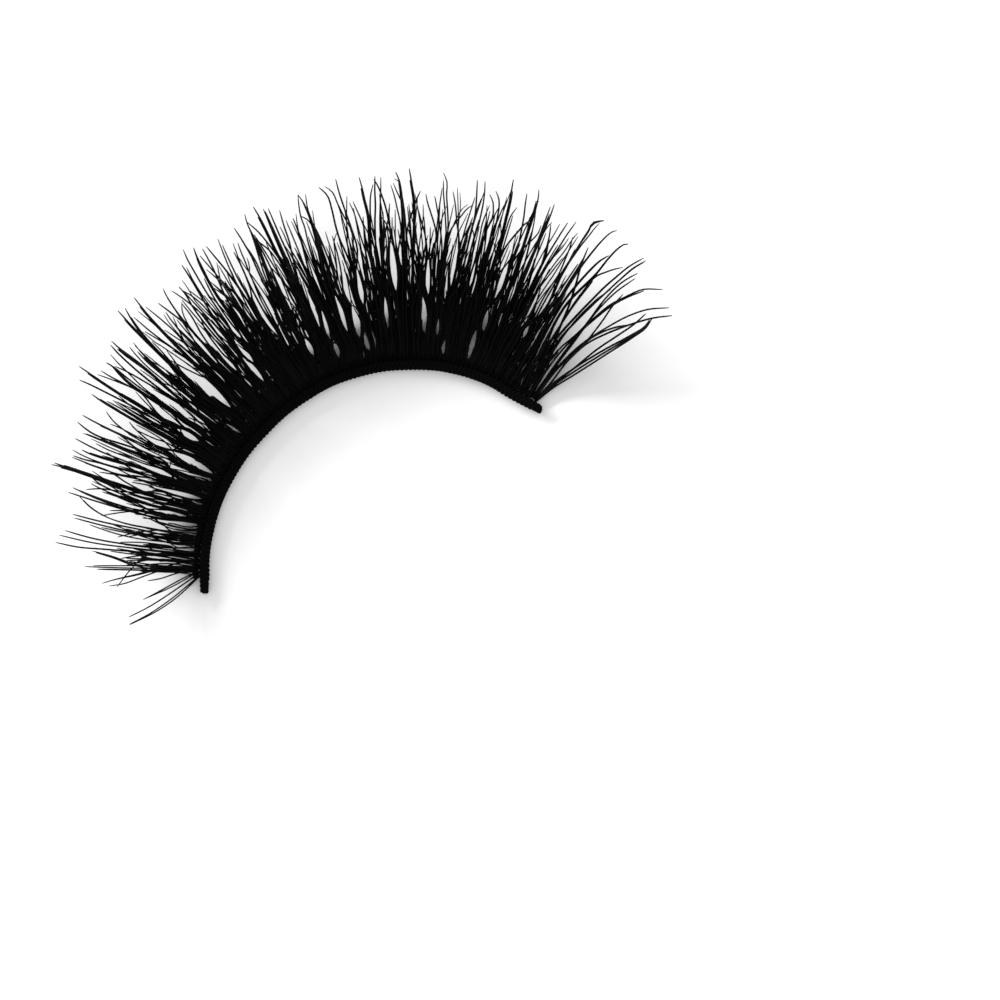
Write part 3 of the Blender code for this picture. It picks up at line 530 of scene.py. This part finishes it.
# The cord of knots: two threads twisted round each other
CORD_THREADS = 2
CORD_PITCH = 0.7
CORD_TWIST = 0.1
CORD_INWARD = 0.03
CORD_RADIUS = 0.105
CORD_OVERRUN = 0.05
CORD_STEPS = 560

# The stitches over band and cord, with the scatter of their near and far ends and of their place
STITCH_SIDES = 5
STITCH_STEPS = 17
STITCH_SPACING = 0.31
STITCH_RADIUS = 0.036
STITCH_WIDTHS = (0.85, 1.15)
STITCH_RISE = 0.03
STITCH_ROUNDNESS = 0.5
STITCH_NEAR = BAND_WIDTH / 2 - 0.05
STITCH_NEAR_SCATTER = 0.02
STITCH_FAR = KNOT_ROW_OUT + 0.19
STITCH_FAR_SCATTER = 0.05
STITCH_SCATTER = 0.03

# A tube's cell of the texture: columns of cells for each row, where its strip and its two ends
# lie in it, as shares of the cell
CELL_SHAPE = 4
STRIP_LEFT = 0.1
STRIP_WIDTH = 0.8
STRIP_FOOT = 0.05
STRIP_HEIGHT = 0.85
CAP_FOOTS = (0.02, 0.93)
CAP_HEIGHT = 0.02

# Colours, in shares of red, green and blue
JET = (0.0005, 0.0005, 0.0006)
# Painted sheen: a grey mixed into the lashes' black so that they look as if they catch the light
FIBRE_PAINTED_SHEEN = (0.0034, 0.0034, 0.0036)
COTTON_GREY = (0.0030, 0.0030, 0.0032)
PAPER_SHADE = (0.955, 0.955, 0.955)
PAPER_WHITE = (0.965, 0.965, 0.965)
FILL_WHITE = (1.0, 1.0, 1.0, 1.0)

rng = np.random.default_rng(20)


def running_total(steps):
    """Add up steps from nought."""
    return np.concatenate(([0.0], np.cumsum(steps)))


def halfway(values):
    """Average each value with the next."""
    return (values[1:] + values[:-1]) / 2


def read_table(table, at):
    """Read the second column of a table at values of its first."""
    return np.interp(at, *zip(*table))


def walked(points):
    """Measure how far along a path each of its points lies."""
    return running_total(np.linalg.norm(np.diff(points, axis=0), axis=1))


def read_path(points, stations, at):
    """Read a path, whose points lie at some stations, at others."""
    return np.stack([np.interp(at, stations, column) for column in points.T], axis=-1)


def trace_band_line():
    """Walk the band's middle line through its headings, in millimetres."""
    share = np.linspace(0.0, 1.0, LINE_STEPS + 1)
    heading = np.radians(read_table(HEADINGS, share))
    between = halfway(heading)
    step = BAND_LENGTH / LINE_STEPS
    x = running_total(np.cos(between)) * step
    y = running_total(np.sin(between)) * step
    middle = LINE_STEPS // 2
    return share, x - x[middle], y - y[middle], heading


LINE_SHARE, LINE_X, LINE_Y, LINE_HEADING = trace_band_line()


def lay_out(along, out):
    """Turn lengths along the band and distances out from it into points on the floor."""
    inside = np.clip(along, 0.0, BAND_LENGTH)
    beyond = along - inside
    share = inside / BAND_LENGTH
    heading = np.interp(share, LINE_SHARE, LINE_HEADING)
    x = np.interp(share, LINE_SHARE, LINE_X) + beyond * np.cos(heading) - out * np.sin(heading)
    y = np.interp(share, LINE_SHARE, LINE_Y) + beyond * np.sin(heading) + out * np.cos(heading)
    return np.stack((x, y), axis=-1)


def smooth_path(points):
    """Draw a smooth path through a few points, with its own points evenly spaced."""
    points = np.array(points, float)
    knots = walked(points)
    slopes = np.gradient(points, knots, axis=0)
    fine = np.linspace(0.0, knots[-1], PATH_POINTS)
    piece = np.clip(np.searchsorted(knots, fine, side="right") - 1, 0, len(knots) - 2)
    gap = (knots[piece + 1] - knots[piece])[:, None]
    t = (fine - knots[piece])[:, None] / gap
    leaving, arriving = slopes[piece] * gap, slopes[piece + 1] * gap
    from_start = points[piece] * (2 * t ** 3 - 3 * t ** 2 + 1) + leaving * (t ** 3 - 2 * t ** 2 + t)
    to_end = points[piece + 1] * (3 * t ** 2 - 2 * t ** 3) + arriving * (t ** 3 - t ** 2)
    return from_start + to_end


def shorten(path, end):
    """Cut a path off at a share of it, and space as many points over what is left."""
    index = np.arange(PATH_POINTS)
    return read_path(path, index, np.linspace(0.0, end, PATH_POINTS) * (PATH_POINTS - 1))


def part_the_lashes(path, charted=PAST_ALL_LASHES):
    """Bend a lash round the partings, up to the distance out from which it is charted."""
    along, out = path[:, 0].copy(), path[:, 1]
    for row in PARTINGS:
        share = (out - row.near_out) / (row.far_out - row.near_out) / PARTING_STRETCH
        inside = (share > 0.0) & (share < 1.0)
        if not inside.any():
            continue
        centre = row.near_along + (row.far_along - row.near_along) * share * PARTING_STRETCH
        away = along - centre
        if np.abs(away[inside]).min() > PARTING_REACH:
            continue
        middle = np.flatnonzero(inside)[inside.sum() // 2]
        side = 1.0 if away[middle] >= 0.0 else -1.0
        share = share.clip(0.0, 1.0)
        opening = PARTING_FULLNESS * share ** PARTING_BLUNTNESS * (1 - share) ** PARTING_POINT
        half = (row.width / 2 + PARTING_CLEARANCE * FILL_RADIUS) * opening
        pushed = side / 2 * (side * away + np.sqrt(away ** 2 + 4 * half ** 2))
        along = np.where(inside, centre + pushed, along)
    margin = len(SOFTENING) // 2
    along = np.convolve(np.pad(along, margin, mode="reflect", reflect_type="odd"), SOFTENING, "valid")
    held = np.clip((out - charted) / CHARTED_FADE + 0.5, 0.0, 1.0)
    return np.stack((along * (1 - held) + path[:, 0] * held, out), axis=-1)


def tube_rows(plan, height, radius):
    """Join a tube's places, heights and radius into rows of x, y, z and radius."""
    return np.column_stack((plan, height, np.broadcast_to(radius, height.shape)))


def raise_lash(path, curl, root_height, radius, segments=SEGMENTS):
    """Curl a lash up from its path on the floor, placed so that the camera sees it on that path."""
    floor_points = lay_out(path[:, 0], path[:, 1])
    covered = walked(floor_points)
    lengths = np.linspace(0.0, 1.0, PATH_POINTS)
    root = curl.root + curl.root_scatter * rng.normal()
    tip = curl.tip + curl.tip_scatter * rng.normal()
    between = halfway(np.radians(root + (tip - root) * lengths ** curl.lateness))
    ground = running_total(np.cos(between))
    height = running_total(np.sin(between)) / ground[-1] * covered[-1]
    shares = np.linspace(0.0, 1.0, segments + 1)
    at = np.interp(shares, lengths, ground / ground[-1]) * covered[-1]
    up = np.interp(shares, lengths, height) + root_height
    up += max(0.0, radius + FLOOR_CLEARANCE - up.min())
    seen = read_path(floor_points, covered, at)
    nearness = (CAMERA_DISTANCE - up) / CAMERA_DISTANCE
    plan = CAMERA_OVER + (seen - CAMERA_OVER) * nearness[:, None]
    return tube_rows(plan, up, radius * read_table(TAPERS, shares))


def reach_at(along):
    """Reach of the longest lashes at a length along the band."""
    return float(np.interp(along, [row.root for row in LOCKS], [row.reach for row in LOCKS]))


def lean_at(along):
    """How far along the band the tips lie from their roots, at a length along it."""
    return float(np.interp(along, [row.root for row in LOCKS], [row.tip - row.root for row in LOCKS]))


def root_of_lash():
    """Pick where a lash starts in the band's outer side: its distance out and its height."""
    out = ROOT_OUT + ROOT_OUT_SCATTER * rng.uniform(-1, 1)
    return out, KNOT_ROW_HEIGHT + ROOT_HEIGHT_SCATTER * rng.uniform(-1, 1)


def grow_lash(root, tip, reach, curl, radius, widths, bow_scatter, bow=0.0):
    """Grow one lash from the band: slightly bowed, bent round the partings and curled up."""
    out, height = root_of_lash()
    bow += bow_scatter * rng.normal()
    share = np.linspace(0.0, 1.0, PATH_POINTS)
    along = root + (tip - root) * share ** LEAN_LATENESS + bow * np.sin(math.pi * share)
    path = np.stack((along, out + (reach - out) * share), axis=-1)
    return raise_lash(part_the_lashes(path), curl, height, radius * rng.uniform(*widths))


def long_lashes():
    """Draw the locks that the drawn lashes stand in: each narrows to a wedge below its tip."""
    tubes = []
    for lock in LOCKS:
        bow = LOCK_BOW * rng.normal()
        tallest = read_table(TALLEST, lock.root)
        for number in range(lock.count):
            lane = (number + 0.5 + rng.uniform(-LANE_SCATTER, LANE_SCATTER)) / lock.count - 0.5
            aside = LOCK_WIDTH * lane
            reach = lock.reach * rng.uniform(SHORTEST, tallest)
            centre = lock.root + (lock.tip - lock.root) * reach / lock.reach
            tip = centre + aside * rng.normal(TIP_LANE, TIP_LANE_SCATTER) + lock.open * rng.normal() / 2
            root = lock.root + aside
            tubes.append(grow_lash(root, tip, reach, LONG_CURL, FILL_RADIUS, FILL_WIDTHS, LASH_BOW, bow))
    return tubes


def drawn_lashes():
    """Draw the charted lashes, each led down to a root in the band; the stout ones are double."""
    tubes = []
    for lash in LASHES:
        along, charted = lash.points[0]
        for number in range(1 + (lash.stoutness >= STOUT)):
            out, height = root_of_lash()
            root = (along + DRAWN_ROOT_SCATTER * rng.normal(), out)
            path = shorten(smooth_path([root] + lash.points), 1.0 - UNEVEN_END * number)
            path[:, 0] += TWIN_GAP * number * rng.choice((-1, 1))
            radius = LONG_RADIUS * min(lash.stoutness, STOUT) ** STOUT_POWER * rng.uniform(*LONG_WIDTHS)
            path = part_the_lashes(path, charted)
            tubes.append(raise_lash(path, LONG_CURL, height, radius, DRAWN_SEGMENTS))
    return tubes


def stations_of_layer(count):
    """Space lashes along the row, thinner towards its two ends."""
    places = np.linspace(0.0, 1.0, DENSITY_POINTS)
    total = running_total(halfway(read_table(DENSITIES, places)))
    return np.interp(np.linspace(0.0, 1.0, count), total / total[-1], places)


def layer_lashes(layer):
    """Draw shorter lashes all along the band, crossing each other a little."""
    tubes = []
    first, last = LOCKS[0].root, LOCKS[-1].root + LAYER_OVERRUN
    for station in stations_of_layer(layer.count):
        root = first + (last - first) * station + LAYER_ROOT_SCATTER * rng.normal()
        share = rng.uniform(layer.low, layer.high)
        reach = reach_at(root) * share
        tip = root + lean_at(root) * share + layer.scatter * rng.normal()
        tubes.append(grow_lash(root, tip, reach, layer.curl, FILL_RADIUS, FILL_WIDTHS, LAYER_BOW))
    return tubes


def stray_lashes():
    """Draw single long lashes that lean across their neighbours."""
    tubes = []
    first, last = LOCKS[0].root, LOCKS[-1].root
    for station in np.linspace(*STRAY_STATIONS, STRAY_COUNT):
        root = first + (last - first) * station + STRAY_ROOT_SCATTER * rng.normal()
        reach = reach_at(root) * rng.uniform(*STRAY_REACHES)
        tip = root + lean_at(root) + STRAY_TIP_SCATTER * rng.normal()
        tubes.append(grow_lash(root, tip, reach, LONG_CURL, LONG_RADIUS, STRAY_WIDTHS, STRAY_BOW))
    return tubes


def wisp_lashes(wisps, radius):
    """Draw wisps lash by lash; the lashes of one lie side by side and end unevenly."""
    tubes = []
    share = np.linspace(0.0, 1.0, PATH_POINTS)[:, None]
    bulge = np.abs(np.sin(math.pi * share ** WISP_EARLINESS)) ** WISP_POINT
    spread = WISP_CLOSED + (1 - WISP_CLOSED) * bulge
    for wisp in wisps:
        path = smooth_path(wisp.points)
        ahead = np.gradient(path, axis=0)
        ahead /= np.linalg.norm(ahead, axis=1, keepdims=True)
        aside = np.stack((-ahead[:, 1], ahead[:, 0]), axis=-1)
        for number in range(wisp.count):
            lane = (number - (wisp.count - 1) / 2) * wisp.spread
            moved = path + aside * (lane * spread + WISP_TIP_SCATTER * rng.normal() * share)
            moved = shorten(moved, 1.0 - UNEVEN_END * (number > 0) * rng.uniform(0.0, 1.0))
            height = root_of_lash()[1]
            width = radius * rng.uniform(*WISP_WIDTHS)
            tubes.append(raise_lash(moved, WISP_CURL, height, width, DRAWN_SEGMENTS))
    return tubes


def band_threads():
    """Plait three threads over the band's upper side."""
    tubes = []
    along = np.linspace(PLAIT_INSET, BAND_LENGTH - PLAIT_INSET, PLAIT_STEPS)
    waver = sum(row.size * np.sin(along * row.rate + row.start) for row in PLAIT_WAVERS)
    for thread in range(PLAIT_THREADS):
        phase = 2 * math.pi * (along / PLAIT_PITCH + thread / PLAIT_THREADS)
        out = (PLAIT_SWING * np.sin(phase) - waver) * read_table(PLAIT_SWINGS, along)
        height = BAND_THICKNESS - PLAIT_SUNK + PLAIT_RISE * np.sin(2 * phase)
        tubes.append(tube_rows(lay_out(along, out), height, PLAIT_RADIUS))
    return tubes


def knot_threads():
    """Twist two threads into the cord that holds the lashes."""
    tubes = []
    along = np.linspace(INNER_TAB_LENGTH - CORD_OVERRUN, LASHES_END + CORD_OVERRUN, CORD_STEPS)
    for thread in range(CORD_THREADS):
        phase = 2 * math.pi * (along / CORD_PITCH + thread / CORD_THREADS)
        plan = lay_out(along, KNOT_ROW_OUT - CORD_INWARD + CORD_TWIST * np.cos(phase))
        height = KNOT_ROW_HEIGHT + CORD_TWIST * np.sin(phase)
        tubes.append(tube_rows(plan, height, CORD_RADIUS))
    return tubes


def binding_stitches():
    """Lay slanted stitches over the band and its row of knots, from floor to floor."""
    tubes = []
    turn = np.linspace(0.0, math.pi, STITCH_STEPS)
    across = np.sign(np.cos(turn)) * np.abs(np.cos(turn)) ** STITCH_ROUNDNESS
    over = np.sin(turn) ** STITCH_ROUNDNESS
    for station in np.arange(INNER_TAB_LENGTH, LASHES_END, STITCH_SPACING):
        near = STITCH_NEAR + STITCH_NEAR_SCATTER * rng.uniform(-1, 1)
        far = STITCH_FAR + STITCH_FAR_SCATTER * rng.uniform(-1, 1)
        out = (far - near) / 2 - (far + near) / 2 * across
        height = STITCH_RADIUS + (BAND_THICKNESS + STITCH_RISE) * over
        along = station + STITCH_SPACING * (turn / math.pi - 0.5) + STITCH_SCATTER * rng.normal()
        tubes.append(tube_rows(lay_out(along, out), height, STITCH_RADIUS * rng.uniform(*STITCH_WIDTHS)))
    return tubes


def tubes_to_mesh(name, tubes, sides):
    """Make one mesh of round closed tubes; each tube is rows of x, y, z and radius in millimetres."""
    tubes = np.array(tubes)
    count, rings = tubes.shape[:2]
    centre, radius = tubes[..., :3], tubes[..., 3]
    ahead = np.gradient(centre, axis=1)
    ahead /= np.linalg.norm(ahead, axis=2, keepdims=True)
    side = np.cross(ahead, (0.0, 0.0, 1.0))
    side /= np.linalg.norm(side, axis=2, keepdims=True)
    over = np.cross(side, ahead)
    turn = (np.arange(sides) * 2 * math.pi / sides)[:, None]
    ring = side[:, :, None] * np.cos(turn) + over[:, :, None] * np.sin(turn)
    verts = (centre[:, :, None] + ring * radius[:, :, None, None]) * MM
    first = np.arange(count) * rings * sides
    start = first[:, None, None] + (np.arange(rings - 1) * sides)[:, None]
    low = start + np.arange(sides)
    low_next = start + (np.arange(sides) + 1) % sides
    quads = np.stack((low, low_next, low_next + sides, low + sides), axis=-1).reshape(-1, 4)
    roots = first[:, None] + np.arange(sides)[::-1]
    tips = first[:, None] + (rings - 1) * sides + np.arange(sides)
    caps = np.concatenate((roots, tips))
    corners = np.concatenate((quads.ravel(), caps.ravel()))
    starts = np.concatenate((np.arange(len(quads)) * 4, len(quads) * 4 + np.arange(len(caps)) * sides))
    mesh = bpy.data.meshes.new(name)
    mesh.vertices.add(verts.size // 3)
    mesh.vertices.foreach_set("co", verts.ravel())
    mesh.loops.add(len(corners))
    mesh.loops.foreach_set("vertex_index", corners)
    mesh.polygons.add(len(starts))
    mesh.polygons.foreach_set("loop_start", starts)
    mesh.update(calc_edges=True)
    mesh.polygons.foreach_set("use_smooth", np.ones(len(starts), bool))
    unwrap_tubes(mesh, count, rings, sides)
    mesh.validate()
    return mesh


def unwrap_tubes(mesh, count, rings, sides):
    """Give each tube its own strip of the texture, wound open."""
    columns = math.ceil(math.sqrt(count * CELL_SHAPE))
    rows = math.ceil(count / columns)
    tube = np.arange(count)
    corner = np.array([(0.0, 0.0), (1.0, 0.0), (1.0, 1.0), (0.0, 1.0)])
    across = (np.arange(sides)[:, None] + corner[:, 0]) / sides
    upward = (np.arange(rings - 1)[:, None] + corner[:, 1]) / (rings - 1)
    u = np.broadcast_to(across[None, None], (count, rings - 1, sides, 4))
    v = np.broadcast_to(upward[None, :, None], (count, rings - 1, sides, 4))
    left = (tube % columns)[:, None, None, None] + STRIP_LEFT
    foot = (tube // columns)[:, None, None, None] + STRIP_FOOT
    strip = np.stack(((left + STRIP_WIDTH * u) / columns, (foot + STRIP_HEIGHT * v) / rows), axis=-1)
    layout = [strip.reshape(-1, 2)]
    for cap_foot in CAP_FOOTS:
        cap_u = (tube[:, None] % columns + STRIP_LEFT + STRIP_WIDTH * np.arange(sides) / sides) / columns
        cap_v = (tube[:, None] // columns + cap_foot + CAP_HEIGHT * (np.arange(sides) % 2)) / rows
        layout.append(np.stack((cap_u, cap_v), axis=-1).reshape(-1, 2))
    layer = mesh.uv_layers.new(name="OFBake")
    layer.uv.foreach_set("vector", np.concatenate(layout).ravel())


class Value:
    """A number in a shader that Python's operators turn into Math nodes."""

    def __init__(self, finish, socket):
        self.finish = finish
        self.socket = socket

    def math(self, operation, first, second):
        """Add a Math node."""
        return self.finish.value("ShaderNodeMath", {"operation": operation}, {0: first, 1: second})

    def __add__(self, other):
        return self.math("ADD", self, other)

    def __sub__(self, other):
        return self.math("SUBTRACT", self, other)

    def __rsub__(self, other):
        return self.math("SUBTRACT", other, self)

    def __mul__(self, other):
        return self.math("MULTIPLY", self, other)

    __radd__ = __add__
    __rmul__ = __mul__


class Finish:
    """A material with a Principled shader, and the nodes that feed it."""

    def __init__(self, name, **constants):
        self.material = bpy.data.materials.new(name)
        self.material.use_nodes = True
        self.nodes = self.material.node_tree.nodes
        self.links = self.material.node_tree.links
        self.inputs = self.nodes["Principled BSDF"].inputs
        for socket, value in constants.items():
            self.inputs[socket.replace("_", " ")].default_value = value

    def node(self, kind, settings, sockets):
        """Add a node of a kind; its settings are set first, then the values or links of its sockets."""
        node = self.nodes.new(kind)
        for name, setting in settings.items():
            if name == "stops":
                for element, (position, colour) in zip(node.color_ramp.elements, setting):
                    element.position = position
                    element.color = (*colour, 1.0)
            else:
                setattr(node, name, setting)
        for name, value in sockets.items():
            self.feed(node.inputs[name], value)
        return node

    def feed(self, socket, value):
        """Set a socket to a number, or link it to another."""
        if isinstance(value, Value):
            value = value.socket
        if isinstance(value, bpy.types.NodeSocket):
            self.links.new(value, socket)
        else:
            socket.default_value = value

    def value(self, kind, settings, sockets):
        """Add a node and wrap its first output for arithmetic."""
        return Value(self, self.node(kind, settings, sockets).outputs[0])

    def noise(self, scale, detail):
        """Noise from 0 to 1 with a number of features per metre of the object."""
        place = self.node("ShaderNodeTexCoord", {}, {}).outputs["Object"]
        return self.value("ShaderNodeTexNoise", {}, {"Vector": place, "Scale": scale, "Detail": detail})

    def colour(self, share, dark, light):
        """Blend two colours by a share."""
        ramp = self.node("ShaderNodeValToRGB", {"stops": [(0.0, dark), (1.0, light)]}, {"Fac": share})
        self.feed(self.inputs["Base Color"], ramp.outputs[0])

    def roughness(self, value):
        """Set how matt the surface is."""
        self.feed(self.inputs["Roughness"], value)

    def bump(self, height, distance, strength):
        """Raise the surface by a height."""
        sockets = {"Height": height, "Distance": distance, "Strength": strength}
        self.feed(self.inputs["Normal"], self.node("ShaderNodeBump", {}, sockets).outputs[0])


def lash_fibre():
    """Black fibre with a faint sheen that comes and goes along each lash: partly painted sheen, as grey
    patches in its colour, and partly real sheen from rougher and smoother places.
    """
    finish = Finish("black_lash_fibre", Specular_IOR_Level=0.05)
    # Painted sheen: noise mixes grey patches into the fibre's black colour
    finish.colour(finish.noise(scale=900.0, detail=3.0), dark=JET, light=FIBRE_PAINTED_SHEEN)
    finish.roughness(0.34 + 0.22 * finish.noise(scale=2500.0, detail=2.0))
    return finish.material


def band_cotton():
    """Black cotton with the fuzz of its threads, smoother where it is waxed."""
    finish = Finish("black_cotton_band", Specular_IOR_Level=0.04)
    fuzz = finish.noise(scale=9000.0, detail=4.0)
    dry = finish.noise(scale=700.0, detail=2.0)
    waxed = 1 - dry
    finish.colour(fuzz * 0.6 + dry * 0.4, dark=JET, light=COTTON_GREY)
    finish.roughness(0.92 - 0.3 * waxed)
    finish.bump(fuzz, distance=0.00002, strength=0.8)
    return finish.material


def floor_paper():
    """Smooth pale paper."""
    finish = Finish("pale_paper", Specular_IOR_Level=0.0)
    grain = finish.noise(scale=300.0, detail=2.0)
    finish.colour(grain, dark=PAPER_SHADE, light=PAPER_WHITE)
    finish.roughness(0.9 + 0.05 * grain)
    return finish.material


def add_to_scene(name, data):
    """Put an object into the scene."""
    obj = bpy.data.objects.new(name, data)
    bpy.context.scene.collection.objects.link(obj)
    return obj


def add_floor():
    """Lay the plain floor that the strip rests on."""
    half = FLOOR_SIZE / 2
    corners = [(x * half, y * half, -FLOOR_DROP) for x, y in ((-1, -1), (1, -1), (1, 1), (-1, 1))]
    mesh = bpy.data.meshes.new("floor")
    mesh.from_pydata(corners, [], [(0, 1, 2, 3)])
    mesh.materials.append(floor_paper())
    add_to_scene("floor", mesh)


def add_camera():
    """Hang the camera straight above the strip."""
    camera = bpy.data.cameras.new("camera")
    camera.lens = CAMERA_LENS
    camera.sensor_width = CAMERA_SENSOR
    camera.clip_start = 0.01
    camera.clip_end = 10.0
    obj = add_to_scene("camera", camera)
    obj.location = (CAMERA_OVER[0] * MM, CAMERA_OVER[1] * MM, CAMERA_DISTANCE * MM)
    obj.rotation_euler = (0.0, 0.0, math.radians(CAMERA_TURN))
    bpy.context.scene.camera = obj


def add_light():
    """Light the strip with a low soft key and an even fill."""
    key = bpy.data.lights.new("key", "AREA")
    key.shape = "RECTANGLE"
    key.size = KEY_WIDTH
    key.size_y = KEY_HEIGHT
    key.energy = KEY_POWER
    obj = add_to_scene("key", key)
    heading, elevation = math.radians(KEY_HEADING), math.radians(KEY_ELEVATION)
    level, up = KEY_DISTANCE * math.cos(elevation), KEY_DISTANCE * math.sin(elevation)
    obj.location = (level * math.cos(heading), level * math.sin(heading), up)
    obj.rotation_euler = (math.radians(90.0 - KEY_ELEVATION), 0.0, heading + math.pi / 2)
    world = bpy.data.worlds.new("studio")
    world.use_nodes = True
    fill = world.node_tree.nodes["Background"].inputs
    fill["Color"].default_value = FILL_WHITE
    fill["Strength"].default_value = FILL_STRENGTH
    bpy.context.scene.world = world
    bpy.context.scene.view_settings.view_transform = "Standard"


def add_piece(name, tubes, sides, material):
    """Make a piece of tubes that rides on the strip."""
    mesh = tubes_to_mesh(name, tubes, sides)
    mesh.materials.append(material)
    obj = add_to_scene(name, mesh)
    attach(obj, "root")
    return obj


def add_lashes(name, tubes):
    """Make a piece of lashes that stands in for some of the fringe."""
    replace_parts(add_piece(name, tubes, LASH_SIDES, fibre), "lash_fringe")


def add_binding(name, tubes, sides):
    """Make a piece of cotton threads that stands in for the fringe's row of knots."""
    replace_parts(add_piece(name, tubes, sides, cotton), "lash_fringe")


add_camera()
add_light()
add_floor()

fibre = lash_fibre()
cotton = band_cotton()
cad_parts["band"].data.materials.clear()
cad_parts["band"].data.materials.append(cotton)

add_lashes("lashes_drawn", drawn_lashes())
add_lashes("lashes_long", long_lashes())
add_lashes("lashes_middle", layer_lashes(MIDDLE_LAYER))
add_lashes("lashes_under", layer_lashes(UNDER_LAYER))
add_lashes("lashes_stray", stray_lashes())
add_lashes("lashes_inner_corner", wisp_lashes(INNER_WISPS, FINE_RADIUS))
add_lashes("lashes_outer_wing", wisp_lashes(OUTER_WISPS, WING_RADIUS))
add_binding("knot_cord", knot_threads(), THREAD_SIDES)
add_binding("band_stitches", binding_stitches(), STITCH_SIDES)
add_piece("band_plait", band_threads(), THREAD_SIDES, cotton)
